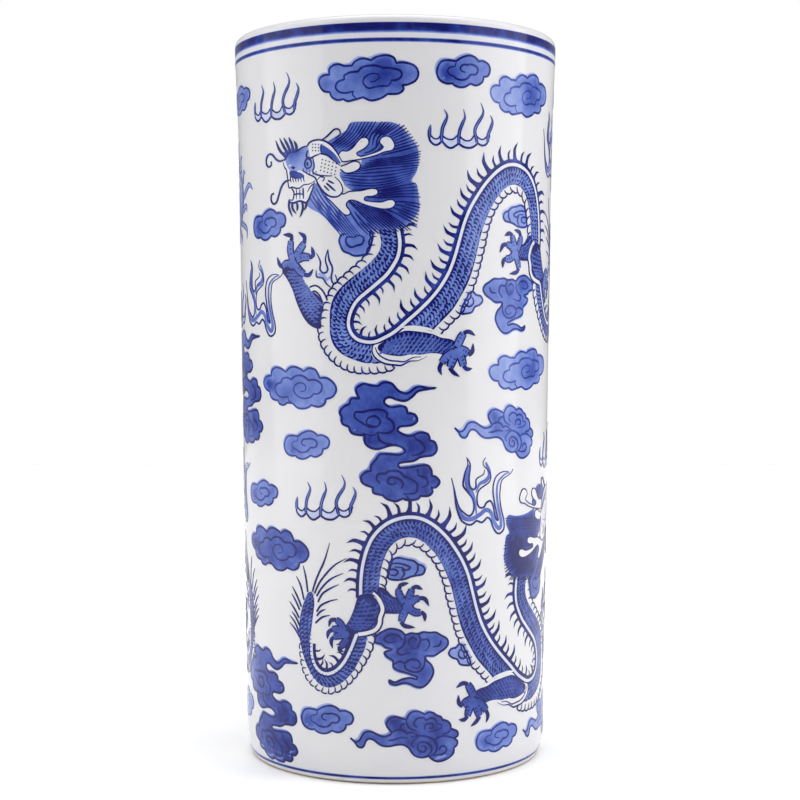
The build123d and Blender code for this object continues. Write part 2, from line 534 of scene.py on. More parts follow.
# Repeats one brush mark in rows between two lines, such as scales between back and belly.
# With the same line given twice it is one row along it. A line's radius sets the marks' size.
def makeRowTree():
    tree, given = newGeometryTree("rowsOfMarks", [
        ("Back Line", "Object", None), ("Belly Line", "Object", None),
        ("Columns", "Int", 10), ("Rows", "Int", 1), ("Lean", "Float", 0.0),
        ("Alternate", "Float", 0.0), ("Uneven", "Float", 0.1), ("Seed", "Int", 1)])
    columns, rows, uneven = given["Columns"], given["Rows"], given["Uneven"]
    points = addNode(tree, "GeometryNodePoints", {}, {"Count": addMath(tree, "MULTIPLY", columns, rows)})
    index = addNode(tree, "GeometryNodeInputIndex").outputs[0]
    column = addMath(tree, "FLOOR", addMath(tree, "DIVIDE", index, rows))
    row = addMath(tree, "MODULO", index, rows)
    # every second row starts half a mark further along
    stagger = addMath(tree, "MULTIPLY_ADD", addMath(tree, "MODULO", row, 2.0), 0.5, 0.25)
    along = addMath(tree, "DIVIDE", addMath(tree, "ADD", column, stagger), columns)
    across = addMath(tree, "DIVIDE", addMath(tree, "ADD", row, 0.5), rows)
    radius = addNode(tree, "GeometryNodeInputRadius").outputs[0]
    samples = []
    for label in ("Back Line", "Belly Line"):
        line = addNode(tree, "GeometryNodeObjectInfo", {}, {"Object": given[label]})
        samples.append(addNode(tree, "GeometryNodeSampleCurve", {"mode": "FACTOR"}, {
            "Curves": line.outputs["Geometry"], "Value": radius, "Factor": along}).outputs)
    back, belly = samples
    place = addNode(tree, "ShaderNodeMix", {"data_type": "VECTOR"}, {
        "Factor": across, "A": back["Position"], "B": belly["Position"]})
    heading = addNode(tree, "ShaderNodeSeparateXYZ", {}, {
        0: addVectorMath(tree, "ADD", back["Tangent"], belly["Tangent"])}).outputs
    sway = addMath(tree, "MULTIPLY_ADD", addChance(tree, given["Seed"]), uneven, given["Lean"])
    angle = addMath(tree, "ADD", addMath(tree, "ARCTAN2", heading["Y"], heading["X"]), sway)
    turn = addNode(tree, "ShaderNodeCombineXYZ", {}, {"Z": angle})
    even = addMath(tree, "MULTIPLY_ADD", addMath(tree, "MODULO", column, 2.0), given["Alternate"], 1.0)
    chance = addMath(tree, "MULTIPLY_ADD", addChance(tree, columns), uneven, 1.0)
    size = addMath(tree, "MULTIPLY", addMath(tree, "MULTIPLY", even, back["Value"]), chance)
    scale = addNode(tree, "ShaderNodeCombineXYZ", {}, {"X": size, "Y": size, "Z": 1.0})
    placed = addNode(tree, "GeometryNodeSetPosition", {}, {
        "Geometry": points.outputs[0], "Position": place.outputs["Result"]})
    marks = addNode(tree, "GeometryNodeInstanceOnPoints", {}, {
        "Points": placed.outputs[0], "Instance": given["Geometry"],
        "Rotation": turn.outputs[0], "Scale": scale.outputs[0]})
    return closeGeometryTree(tree, given, marks.outputs[0])


# Lays a flat drawing on the glazed wall: each point looks for the wall straight inwards from
# outside, and stands off from it by its own height above the drawing.
def makeWrapTree():
    tree, given = newGeometryTree("layOnWall", [("Wall", "Object", None), ("Unroll Radius", "Float", 0.1)])
    position = addNode(tree, "GeometryNodeInputPosition").outputs[0]
    flat = addNode(tree, "ShaderNodeSeparateXYZ", {}, {0: position}).outputs
    outward = addNode(tree, "ShaderNodeVectorRotate", {"rotation_type": "Z_AXIS"}, {
        "Vector": (0, -1, 0), "Angle": addMath(tree, "DIVIDE", flat["X"], given["Unroll Radius"])}).outputs[0]
    height = addNode(tree, "ShaderNodeCombineXYZ", {}, {"Z": flat["Y"]}).outputs[0]
    wall = addNode(tree, "GeometryNodeObjectInfo", {}, {"Object": given["Wall"]})
    ray = addNode(tree, "GeometryNodeRaycast", {"data_type": "FLOAT"}, {
        "Target Geometry": wall.outputs["Geometry"], "Ray Length": 1.0,
        "Source Position": addVectorMath(tree, "MULTIPLY_ADD", outward, (0.15, 0.15, 0.15), height),
        "Ray Direction": addVectorMath(tree, "MULTIPLY", outward, (-1, -1, -1))})
    hit = ray.outputs["Hit Position"]
    laid = addNode(tree, "GeometryNodeSetPosition", {}, {
        "Geometry": given["Geometry"],
        "Position": addVectorMath(tree, "MULTIPLY_ADD", outward, flat["Z"], hit)})
    return closeGeometryTree(tree, given, laid.outputs[0])


rowTree = makeRowTree()
wrapTree = makeWrapTree()


def guideLine(points, widths):
    # a line for rows to follow; widths are the marks' sizes, evenly spaced along it
    curve = bpy.data.curves.new("guide", "CURVE")
    curve.dimensions = "3D"
    path = smoothPath(points, False, 2.0)
    spline = curve.splines.new("POLY")
    spline.points.add(len(path) - 1)
    for i, (point, (x, y)) in enumerate(zip(spline.points, path)):
        part = (len(widths) - 1) * i / (len(path) - 1)
        low = min(int(part), len(widths) - 2)
        point.co = (x * mm, y * mm, 0, 1)
        point.radius = widths[low] + (widths[low + 1] - widths[low]) * (part - low)
    return newObject("guide", curve)


def addRows(sheet, mark, back, belly, widths, columns, rows=1, lean=0.0, alternate=0.0,
            uneven=0.1, seed=1):
    shape = flatObject("mark", mark)
    backLine = guideLine(back, widths)
    bellyLine = guideLine(belly, widths)
    addMesh(sheet, runTree(shape, rowTree, {
        "Back Line": backLine, "Belly Line": bellyLine, "Columns": columns, "Rows": rows,
        "Lean": lean, "Alternate": alternate, "Uneven": uneven, "Seed": seed,
        "Material": cobaltGlaze}))
    for obj in (shape, backLine, bellyLine):
        bpy.data.objects.remove(obj)


def paintPiece(name, sheet, mirrorAt=None, shift=(0, 0)):
    piece = flatObject(name, sheet, mirrorAt, shift)
    piece.data = runTree(piece, wrapTree, {
        "Wall": outsideGlaze, "Unroll Radius": unrollRadius * mm, "Material": cobaltGlaze})
    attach(piece, "root")
    print(name, "painted,", len(piece.data.polygons), "faces")


# Clouds: one drawing of each kind, then copies of it round the jar. Their lines are given lobe by
# lobe, and each lobe starts at a notch.
def withNotches(lobes, closed=False):
    points = [point for lobe in lobes for point in (lobe[0], *lobe)]
    return points if closed else points[1:]


def paintCloud(sheet, outline, curls, wash=0.42, pools=(), line=(1.3, 0.8), spill=(-1.4, 1.4)):
    # the wash never quite keeps to its outline
    rim = smoothPath(outline, True, 1.8)
    spilt = [(x + spill[0], y + spill[1]) for x, y in rim[::2]]
    fillShape(sheet, spilt, 0.8 * wash, 0, edge=0.5 * wash, pools=pools)
    fillShape(sheet, rim[::2], wash, 1, edge=0.9 * wash, pools=pools)
    brushLine(sheet, outline, *line, 3, closed=True)
    for curl in curls:
        brushLine(sheet, curl, *line, 3, (0.6, 0.5))


cloudKinds = {
    "smallCloud": {
        "centre": (-89, 339),
        "outline": [
            [(-94.5, 344.2), (-91, 346.5), (-86, 348), (-82, 347)],
            [(-80, 345), (-77, 345.5), (-73.2, 344), (-71.8, 341), (-73, 337.5)],
            [(-76.2, 336.5), (-77, 333.5), (-81, 331.2)],
            [(-85, 332), (-88.5, 330), (-92, 329.5), (-95.5, 330.5)],
            [(-96.5, 331.5), (-100, 331.2), (-103.5, 332.5), (-105.5, 335), (-106, 338), (-105.2, 341),
             (-103.5, 343.5), (-100, 344.5)],
        ],
        "curls": [
            [[(-88.5, 338.2), (-91, 338.8), (-91.8, 340.5), (-90, 342.5)], [(-87.5, 342.5), (-85, 343),
             (-81.5, 342), (-80.2, 340), (-81.5, 337.5)], [(-85, 337.2), (-87, 335), (-90, 333.8),
             (-94, 334.2)], [(-95.5, 335.5), (-98, 336.2), (-99.5, 338), (-98.8, 340.2)], [(-95, 341.2),
             (-94.5, 343.5)]],
        ],
        "wash": 0.44,
        "line": (1.3, 0.8),
        "pools": [(-101, 336, 7, 0.16)],
    },
    "wideCloud": {
        "centre": (93, 250),
        "outline": [
            [(68.5, 252.8), (68.1, 255.6), (70.6, 257.8), (74.4, 258.4)],
            [(78.1, 257.2)],
            [(83, 257.2), (85, 259.4), (88.8, 260.9), (92.5, 260.6)],
            [(95, 259.8), (98, 261.5), (103.8, 262.5), (108.8, 261.3)],
            [(110.4, 258.1), (115, 258.5), (121.3, 256.9), (124, 253.1), (122.5, 248.8), (117.5, 246.3)],
            [(114, 246), (115, 243.8), (111.9, 241.3)],
            [(105, 241), (101.3, 238.8), (95, 237.5)],
            [(90, 239.4), (83.8, 238.1), (80, 237.5)],
            [(77.5, 238.8), (73.1, 238.5), (69.4, 240.6)],
            [(68.5, 243.1), (64.4, 243.8), (61.9, 246.3), (61, 248.8), (61.9, 251.3), (64.8, 252.8)],
        ],
        "curls": [
            [[(85.6, 238.8), (83.1, 241.3)], [(84, 243.1), (78.8, 242.1), (74.4, 243.1), (72.3, 245.6),
             (73.8, 248.5)], [(78.1, 249.8), (78.1, 251.9), (81.9, 253.5)], [(86.9, 253.8), (90, 256.3),
             (97.5, 256.9)], [(101.9, 255.6), (107.5, 255.3), (113.1, 253.8), (113.5, 250.6),
             (110.6, 248.8)], [(107.5, 248.5), (105.6, 245.6)], [(100.6, 245.6), (97.5, 245),
             (93.1, 244.4), (90, 247.5), (91.3, 250.6), (95.6, 252.5), (99.4, 251.9), (99.8, 249.8),
             (96.9, 248.1), (94.4, 248.1)]],
        ],
        "wash": 0.42,
        "line": (1.3, 0.8),
        "pools": [(102, 252, 11, 0.2)],
    },
    "broadCloud": {
        "centre": (-65, 239.5),
        "outline": [
            [(-87, 246), (-86, 249.5), (-82, 251.3), (-77, 250.6)],
            [(-73, 248.6), (-70, 251), (-66, 251.8), (-61, 250.6)],
            [(-58.5, 249), (-55, 251), (-50, 250)],
            [(-47, 245.2), (-42, 245.2), (-37.5, 242), (-36, 238), (-38.5, 234)],
            [(-43, 232.6), (-44, 229.5), (-48, 227.8)],
            [(-53, 228.8), (-57, 226.8), (-63, 226.8)],
            [(-67.5, 229.6), (-72, 229.8), (-75, 228.4), (-79, 229)],
            [(-80.5, 231), (-85, 231.6), (-88, 233.6)],
            [(-88.8, 236.4), (-92, 237.4), (-94.5, 239.4), (-95.4, 241.6), (-93.5, 244.6), (-90, 246)],
        ],
        "curls": [
            [[(-67.5, 229.8), (-71, 231.4)], [(-71.2, 233.8), (-76, 233), (-81, 234.6), (-83.4, 238),
             (-81.5, 241)], [(-77.5, 242), (-76, 244.4), (-72, 245.2)], [(-68.5, 244), (-65, 246.2),
             (-59.5, 246.4)], [(-55, 243.8), (-50, 244), (-46, 241.6), (-45.6, 238.4), (-48, 235.8)],
             [(-51.5, 235.6), (-54, 233.4), (-60, 232.8), (-64.6, 235), (-66.6, 238), (-65, 241),
             (-60.5, 242.2), (-57.2, 240.4), (-57.6, 237.6), (-61, 236.8)]],
        ],
        "wash": 0.44,
        "line": (1.3, 0.8),
        "pools": [(-90, 241, 6, 0.35), (-70, 229, 10, 0.1)],
    },
    "cloudColumn": {
        "centre": (0, 207),
        "outline": [
            [(25, 239.4), (20, 239.4), (15, 240.3), (11.9, 239.4), (8.8, 236.9), (5.6, 236.3),
             (1.9, 238.1), (-0.3, 240.6), (-2.5, 242.5), (-6.9, 242.8)],
            [(-10, 240.6), (-14.4, 241), (-18.8, 241.9), (-23.1, 239.4), (-23.1, 236.3)],
            [(-21.3, 233.1), (-26.3, 233.1)],
            [(-27.5, 230), (-31.3, 228.1), (-33.8, 225)],
            [(-32.5, 221.9), (-32.3, 218.1)],
            [(-28.1, 216.3), (-26.3, 212.5), (-21.3, 211.3)],
            [(-18.1, 211.3), (-18.1, 206.9), (-15, 204), (-10, 203.1), (-2.5, 205.3), (3.1, 204.8),
             (6.3, 201.9), (3.1, 199.8), (-2.5, 200), (-8.8, 200), (-11.3, 196.9), (-14.4, 193.1)],
            [(-14.4, 190), (-17.5, 189.4), (-20.6, 186.3), (-19.4, 182.5)],
            [(-13.1, 180), (-13.1, 176.9)],
            [(-7.5, 175.6), (-4.4, 173.1), (0.6, 171.9)],
            [(4.8, 173.5), (8.1, 172.5), (13.8, 173.1)],
            [(15.6, 175), (20.6, 175), (23.1, 177.5)],
            [(21.9, 180), (25, 180), (27.5, 183.1), (25, 186.3)],
            [(22.5, 186.9), (22.3, 190), (20, 193.1), (15, 193.1), (10, 192.3), (3.1, 191.9),
             (2.3, 194.4), (5.6, 195.3), (11.3, 196)],
            [(15, 198.1), (18.8, 198.8), (23.1, 199.4), (25.6, 202.5), (24.4, 206.9)],
            [(21.3, 208.1), (20, 211.9), (15, 212.9)],
            [(11.3, 211.3), (7.5, 211), (1.9, 213.8), (3.1, 216.5), (10, 217.3), (13.5, 220),
             (11.9, 223.8)],
            [(7.5, 224.4), (6.9, 227.5), (3.8, 228.8), (-2.5, 228.1), (-6.3, 230.6), (-5.6, 233.1),
             (-2.5, 234), (1.3, 232.5), (6.3, 231.9), (10.6, 234.4), (13.8, 237.5), (20, 238.8)],
        ],
        "curls": [
            [[(-21.9, 220), (-24.4, 221.9), (-23.8, 225)], [(-19.4, 225), (-14.4, 226.3), (-8.1, 226.5),
             (-4.6, 224.4)], [(-5, 221.9), (-1.3, 219.4), (-0.6, 215), (-4.4, 212.5)], [(-10, 213.1),
             (-13.8, 211), (-19.4, 212.5)]],
            [[(-21.9, 220), (-17, 217), (-13.8, 216.3), (-10, 216.9), (-8.8, 220), (-11.9, 222.8),
             (-16.3, 221.3), (-16.9, 218.1), (-13.1, 216.9)]],
            [[(-10, 212.5), (-9.4, 208.8), (-5, 206.3), (1.3, 206)]],
            [[(11.3, 211)], [(13.1, 208.8), (16.3, 206.9), (18.1, 203.1), (15, 200), (10, 199.4)]],
            [[(-8.8, 182.5), (-11, 185), (-10, 188.1)], [(-5.6, 188.4), (-3.8, 189.8), (2.5, 189.8)],
             [(5.3, 186.9), (10, 185), (13.5, 181.9), (12.5, 176.9), (5, 176.3)]],
            [[(3.8, 179.4), (5, 182.5), (1.9, 185.6), (-3.1, 186), (-4.4, 183.1), (-1.3, 181.9),
             (0.5, 183)]],
            [[(13.8, 191.3)], [(14, 187.5), (18.8, 185.6), (20, 181.9), (16.3, 180)]],
        ],
        "wash": 0.64,
        "line": (1.5, 0.97),
        "pools": [(-28, 222, 9, -0.12), (13, 205, 9, 0.14), (-14, 207, 4, 0.15), (20, 186, 8, 0.1)],
    },
    "tailedCloud": {
        "centre": (6, 30),
        "outline": [
            [(-28, 28.3), (-25, 25.8), (-23.5, 23.6), (-21, 22.8), (-19.3, 24), (-18.3, 26.5),
             (-16.5, 28.3), (-13.5, 28), (-10, 25.5), (-7, 24.2), (-3, 24.2), (1, 25), (5, 25),
             (8.5, 23.2), (10.5, 20.2), (13, 18), (17, 17)],
            [(21, 17.6), (25, 14.6), (29, 14), (34, 15.6), (37.5, 18.5)],
            [(37.6, 21.6), (39.6, 23), (40, 25.5)],
            [(37.4, 27.5), (40.2, 28.6), (40, 31.4)],
            [(35.6, 33.4), (35.2, 36), (33, 38.4)],
            [(30, 39), (29, 41)],
            [(26, 42.2), (24, 43.8), (21, 44.3)],
            [(18.5, 43), (15.5, 44.8), (12, 45.2), (9, 43.8)],
            [(7.2, 40.2), (3.5, 41.3), (0, 42), (-3, 41), (-5.3, 38), (-4.5, 35.6), (-2, 32.2),
             (-4, 30.7), (-7, 30), (-10, 30.8), (-14, 32.6), (-17, 32.8), (-19.5, 31.6), (-21, 29),
             (-22.4, 27), (-25, 26.3)],
        ],
        "curls": [
            [[(-2, 32.2), (0, 33.6), (3, 34.2), (6, 33.4)], [(7.4, 31.6), (10, 32.6), (15, 30.5)]],
            [[(6.5, 38), (4.2, 37.2), (3.2, 35), (4.6, 33.8)]],
            [[(7.2, 40.2), (7.4, 37.5), (9.5, 34.8), (13.5, 33.3)]],
            [[(14, 35.4), (12, 37), (12.4, 39.6), (15, 41.2), (18, 41)], [(19.5, 39.6), (22.5, 40.8),
             (25.5, 39.6)], [(26.4, 36.8), (29, 36.6), (29.4, 34.8), (27, 33.4), (21, 32.4)]],
            [[(18.4, 33.6), (18.8, 36.4), (21.5, 37.6), (24, 36.6), (23.8, 34.6), (21.3, 34.6)]],
            [[(10, 29.6), (15, 30.3), (20, 29.6), (24, 27.6), (26.4, 24), (26, 20.6), (23.6, 18.2),
             (21, 17.6)]],
            [[(15, 29.8), (11.8, 27.8), (10.2, 24.6), (12, 23.6)]],
            [[(14.2, 24.4), (16, 26.3), (19.5, 26), (22.6, 23.6), (23, 20.6), (20.6, 18)]],
            [[(14.6, 25), (14.2, 22.6), (16, 20.6), (18.6, 20.6), (19.4, 22.6), (18, 24.2),
             (16.4, 23.4)]],
            [[(24.8, 27.4), (28, 29), (32.5, 29.2), (37.4, 27.5)]],
            [[(30, 30.4), (34, 31.4), (35.6, 33.4)]],
            [[(28, 21), (29, 23), (31.6, 23), (32.8, 21), (31.4, 18.8), (28, 18), (24, 18.2)]],
            [[(-4, 27.5), (0, 28.3), (3.5, 29.4), (8, 29.2)]],
        ],
        "wash": 0.5,
        "line": (1.3, 0.9),
        "pools": [(-2, 38, 6, 0.2), (10, 27, 9, 0.1), (27, 34, 6, 0.12), (24, 15, 5, -0.1),
            (37, 24, 5, -0.1), (-14, 29, 8, -0.08)],
    },
}


def drawCloud(kind):
    cloud = cloudKinds[kind]
    sheet = newSheet()
    curls = [withNotches(curl) for curl in cloud["curls"]]
    outline = withNotches(cloud["outline"], True)
    paintCloud(sheet, outline, curls, cloud["wash"], cloud["pools"], cloud["line"])
    return sheet


flameTongues = [
    [(20.4, 388), (20.4, 391.5), (21.1, 395.4)],
    [(27.6, 386), (27.8, 390), (28.4, 394), (30.2, 398), (31, 401), (29, 404.6)],
    [(38.4, 385), (38.5, 389), (39.2, 393), (40.8, 397), (42.3, 400.6), (41.2, 405.2)],
    [(50.6, 386), (49.6, 389.5), (49, 393), (50.6, 397), (54, 402), (54.6, 405.6), (52.6, 409.8)],
    [(58.2, 387), (58.4, 391), (60.4, 395.4), (61.5, 399.4), (59.8, 402.8)],
]


def drawFlameComb():
    sheet = newSheet()
    outer = withNotches([[(20.5, 389), (20.4, 386.5), (22.5, 384), (25, 383.5)], [(28, 385.8),
        (31, 382.7), (34, 382)], [(38.4, 384.8), (42, 382.8), (47, 382.8)], [(51.2, 385.6), (54, 384.4),
        (57.5, 385.8), (59.5, 391)]])
    inner = withNotches([[(21, 389), (23, 387.2), (25.5, 387.2)], [(27.5, 389.8), (29.5, 388), (32, 387),
        (35, 387.2)], [(38, 390), (40.5, 387.8), (43.5, 386.6), (46.5, 387.4)], [(49, 391), (51.5, 388.8),
        (54, 388), (56.5, 389), (58.4, 391.4)]])
    fillShape(sheet, outer + [(59.5, 391)] + inner[::-1] + [(20.5, 390)], 0.18, 1, 0.16, pitch=2.4)
    brushLine(sheet, outer, 1.4, 0.92, 3, (0.9, 0.9))
    brushLine(sheet, inner, 1.05, 0.88, 3, (0.9, 0.9))
    for tongue in flameTongues:
        outlined(sheet, tongue, 0.8, 0.55, 4, (1, 0.1), 0.7, 0.9)
    return sheet


ribbonLines = [
    [(35, 185.3), (36.5, 180), (37.3, 175), (38.1, 168.8), (40, 163.1), (42.5, 158.8), (47.5, 156.5),
     (50.6, 157.5), (52.5, 158.8), (56.3, 157.5), (58.8, 159), (60.6, 160.3), (63.1, 158.8), (65, 154.4),
     (68.1, 150.6), (71.3, 150), (74.4, 152.5), (74.4, 157.5), (71.9, 165), (70.6, 172.5), (71.3, 180),
     (73.1, 183.1), (77.5, 185), (80.6, 186.5), (82.5, 188.8)],
    [(78.1, 187.5), (72.5, 187.5), (67.5, 185), (65.3, 180.6), (65, 175), (66.3, 168.8), (68.1, 162.5),
     (69.4, 158.1), (67.8, 158.8), (66.3, 162.5), (65, 167.5), (62.5, 170.4), (59.4, 169), (58.1, 166.9),
     (55, 166.5), (53.1, 168.8), (52.8, 173.8), (54.4, 177.5), (58.1, 179.8), (61.9, 181.9),
     (63.1, 185.6), (60.6, 189.4), (58.1, 191.3), (56.9, 193.8), (58.8, 196.9)],
    [(45, 197.5), (47.5, 193.8), (47.5, 190), (46.9, 185), (47.5, 180), (50, 177.8), (51.9, 179.4),
     (51.9, 183.8), (55, 185.6), (57.5, 186.9), (58.1, 189.4)],
    [(45.3, 197.2), (46, 193), (44.5, 189.5), (43.1, 183.8), (43.1, 180), (46.3, 176.3), (50, 171.3),
     (50.3, 165), (47.5, 161.9), (43.8, 163.8), (40, 168), (37, 178), (35.2, 185)],
]

ribbonWashes = [
    [(36.6, 180), (39, 168), (43.5, 161), (49, 160), (55, 162.5), (59.5, 165), (63.5, 163), (66.5, 156.5),
     (70.5, 153), (72, 157), (69.5, 166), (68, 175), (69.4, 182), (75, 186), (79, 186.8)],
    [(46.5, 193), (45.2, 185), (45.8, 180), (49.5, 175), (51.6, 168), (52.5, 162)],
    [(59, 194), (62, 187), (59.5, 183), (54.5, 181), (52, 176)],
]


def drawFlameRibbon():
    sheet = newSheet()
    for wash in ribbonWashes:
        brushLine(sheet, wash, 2.6, 0.52, 1, (0.4, 0.3))
    for line in ribbonLines:
        brushLine(sheet, line, 1.25, 0.9, 3, (0.4, 0.4))
    return sheet


pearl = {                      # mm
    "radius": 18.5,
    "spiral": 12,
    "flames": 14,
    "flameStart": 20,
    "flameLengths": (17, 8, 11),
    "flameSway": ((0, 0), (0.4, 0.18), (0.75, 0.22), (1, 0.1)),  # share of the length, radians
}


def drawPearl():
    # a flaming pearl, centred on its own origin
    sheet = newSheet()
    radius = pearl["radius"]
    ring = [(radius * math.cos(a), radius * math.sin(a)) for a in spread(0, 2 * math.pi * 11 / 12, 12)]
    fillShape(sheet, ring, 0.2, 1, 0.2, pools=[(6, -8, 10, 0.3), (-6, 10, 7, -0.15)])
    brushLine(sheet, ring, 1.6, 0.9, 3, closed=True)
    brushLine(sheet, [(0.84 * x, 0.84 * y) for x, y in ring], 0.9, 0.7, 3, closed=True)
    spiral = [(pearl["spiral"] * (1 - t / 30), 0.42 * t) for t in range(26)]
    brushLine(sheet, [(r * math.cos(a), r * math.sin(a)) for r, a in spiral], 1.3, 0.8, 3)
    start = pearl["flameStart"]
    for i in range(pearl["flames"]):
        angle = 2 * math.pi * i / pearl["flames"]
        length = pearl["flameLengths"][i % 3]
        reach = [(start + share * length, sway) for share, sway in pearl["flameSway"]]
        tongue = [(r * math.cos(angle + a), r * math.sin(angle + a)) for r, a in reach]
        outlined(sheet, tongue, 2.2, 0.35, 2, (1, 0.1), 0.8, 0.85)
    return sheet


def copySheet(sheet, centre=(0, 0), place=(0, 0), scale=(1, 1), strength=1.0, lean=0.0, turn=0.0):
    # the drawing again, its own point "centre" at "place"; strength is that of its blue, and lean
    # is how much darker it is for each 30 mm to the right
    moved = dict(sheet)
    cosine, sine = math.cos(turn), math.sin(turn)
    offsets = [(scale[0] * (x - centre[0]), scale[1] * (y - centre[1]), z) for x, y, z in sheet["points"]]
    moved["points"] = [(place[0] + cosine * x - sine * y, place[1] + sine * x + cosine * y, z)
                       for x, y, z in offsets]
    moved["pigment"] = [min(1.0, p * (strength + lean * (x - centre[0]) / 30))
                        for p, (x, y, z) in zip(sheet["pigment"], sheet["points"])]
    return moved


def mergeSheets(sheets):
    merged = newSheet()
    for sheet in sheets:
        first = len(merged["points"])
        merged["points"] += sheet["points"]
        merged["pigment"] += sheet["pigment"]
        merged["faces"] += [tuple(first + i for i in face) for face in sheet["faces"]]
    return merged


# The dragon, as it lies on the upper front of the jar, facing left. Its back line runs from
# the mane to the tail, with the spines on its left side and the belly on its right.

neckBack = [(1.5, 336), (3, 326), (2, 318), (-1, 312), (-5, 306.5), (-10, 302), (-16, 297), (-22, 292),
    (-26, 286), (-28, 279), (-27, 273.5), (-23.5, 269), (-18, 267), (-12, 267)]
neckBelly = [(-9, 335), (-8, 326), (-9.5, 320), (-14, 314.5), (-20, 309.5), (-26, 305), (-32, 300),
    (-37, 294), (-39.5, 287), (-40, 279), (-39.5, 270), (-36, 263), (-28, 257.5), (-14, 254.5)]
archBack = [(-12, 267), (-6, 269.5), (0, 273), (7, 279), (15, 286), (22, 293), (28, 300.5), (33, 309),
    (36.5, 318), (39.5, 328), (42.5, 338), (46.5, 347), (52, 355.5), (58, 363), (66, 370), (74, 374),
    (82, 374.8), (90, 373), (97, 369), (103, 362.5), (107, 354), (109.5, 344), (110.5, 334), (110.5, 326)]
archBelly = [(-14, 254.5), (-2, 256), (9, 262), (18, 269), (27, 278), (35, 286), (41, 295), (46, 304),
    (49.5, 314), (52, 324), (54.5, 333), (58, 341.5), (62, 349), (66.5, 355), (72, 360), (77, 362.3),
    (83, 362.6), (88.5, 360.5), (93, 356), (96, 350), (98, 343), (99, 336), (99.5, 329), (100, 322)]
tailBack = [(112.5, 305.5), (114.5, 300.5), (117.5, 293.5), (121.5, 286.5), (127, 281), (133.5, 278.7),
    (139, 280.5), (142.5, 285), (144, 290.5), (144, 296.5), (143, 302), (142, 308), (140.8, 315),
    (140, 322), (141.5, 328)]
tailBelly = [(107, 303.5), (108, 295.5), (111.5, 288.5), (115.5, 281.5), (120.5, 276), (125.5, 272.5),
    (131.5, 270.5), (137.5, 271.5), (142.5, 275.5), (146.5, 280.5), (150, 287.5), (152.5, 296),
    (153.5, 305), (151.5, 316), (146.5, 327)]
neckUnder = [(-14, 332), (-15, 324), (-17, 318.5), (-22, 313.5), (-28, 308.5), (-34, 303.5), (-38, 299.5),
    (-41.5, 294), (-44, 288), (-45.5, 282), (-47.5, 276), (-47, 270), (-45, 264), (-41.5, 259),
    (-37, 254.5), (-31, 251), (-25, 249), (-18, 248.5), (-10, 248.7), (-3, 250), (1, 252.5)]
archUnder = [(27, 271.5), (31, 275), (35, 279), (39.5, 283), (43.5, 288), (46, 293), (48.5, 299),
    (51, 305), (53, 312), (55, 319), (57, 326), (58.5, 333), (61, 340), (64, 346), (68, 351), (73, 355.5),
    (79, 358.2), (85, 357.5), (90, 353.5), (93, 347), (94.5, 340), (95.5, 333), (96, 327)]
tailUnder = [(101.5, 306.5), (103, 297.5), (106, 290.5), (110.5, 283), (115.5, 276.5), (121.5, 271),
    (127.5, 268), (134, 267), (140.5, 269), (146.5, 273), (150.5, 279), (152.5, 286.5), (153, 294.5),
    (151.5, 302.5)]

dragonMarks = {                # mm
    "scalePitch": 3.2,
    "scaleRows": 3,
    "scaleBand": (0.14, 0.94),  # where the scales start and end, as shares from back to belly
    "spinePitch": 5.7,
    "platePitch": 4.9,
    "backLine": 1.1,           # width of the dark lines each side of the white back line
}


def pathLength(points):
    return sum(math.dist(a, b) for a, b in zip(points, points[1:]))


def oneScale(pigment=0.43, level=2):
    mark = newSheet()
    arc = [(-2.2, -1.2), (-0.8, -1.0), (0.5, 0), (0.7, 1.7)]
    brushLine(mark, arc, 1.25, pigment, level, (0.3, 0.2), step=1.1)
    return mark


def oneSpine():
    mark = newSheet()
    horn = [(-2.9, -0.4), (-2.1, 0.5), (-1.6, 2.3), (-1.2, 5), (-0.3, 7.8), (3.6, 10.4), (3.6, 10.4),
            (1.4, 7), (0.9, 4.4), (1.1, 2.2), (1.8, 0.8), (2.9, 0.1), (2.9, -0.4)]
    fillShape(mark, horn, 0.8, 2, edge=0.94, pitch=1.7)
    return mark


def onePlate():
    mark = newSheet()
    brushLine(mark, [(-2.6, 0.3), (-1.2, -0.5), (0.8, -0.5), (2.5, 0.3)], 1.1, 0.95, 3, (0.8, 0.8))
    brushLine(mark, [(2.4, 0.2), (1.5, 1.6), (1.2, 3.8)], 0.95, 0.92, 3, (1, 0.2))
    return mark


def paintBody(sheet, back, belly, widths):
    edge = shifted(smoothPath(back, False, 2.0), -1.7)
    fillShape(sheet, edge[::2] + [edge[-1]] + belly[::-1], 0.95, 1, 0.97)
    columns = round(pathLength(back + belly) / 2 / dragonMarks["scalePitch"])
    inset, hem = (between(back, belly, part) for part in dragonMarks["scaleBand"])
    addRows(sheet, oneScale(), inset, hem, widths, columns, dragonMarks["scaleRows"], 0.25, 0.0, 0.3, 3)


def paintBack(sheet, back, sizes):
    path = smoothPath(back, False, 2.0)
    brushLine(sheet, path[::2], 2.3, 0.1, 2, (0.8, 0.8))
    for side in (-1.5, 1.5):
        brushLine(sheet, shifted(path, side)[::2], dragonMarks["backLine"], 0.95, 3, (0.8, 0.8))
    brushLine(sheet, shifted(path, 2.4)[::2], 1.8, 0.8, 1, (0.8, 0.8))
    roots = shifted(path, 1.8)[::2]
    count = round(pathLength(path) / dragonMarks["spinePitch"])
    addRows(sheet, oneSpine(), roots, roots, sizes, count, 1, 0.1, -0.3, 0.16, 5)


def paintBelly(sheet, under, sizes=(1, 1, 1)):
    count = round(pathLength(under) / dragonMarks["platePitch"])
    addRows(sheet, onePlate(), under, under, sizes, count, 1, 0.0, 0.0, 0.05, 7)


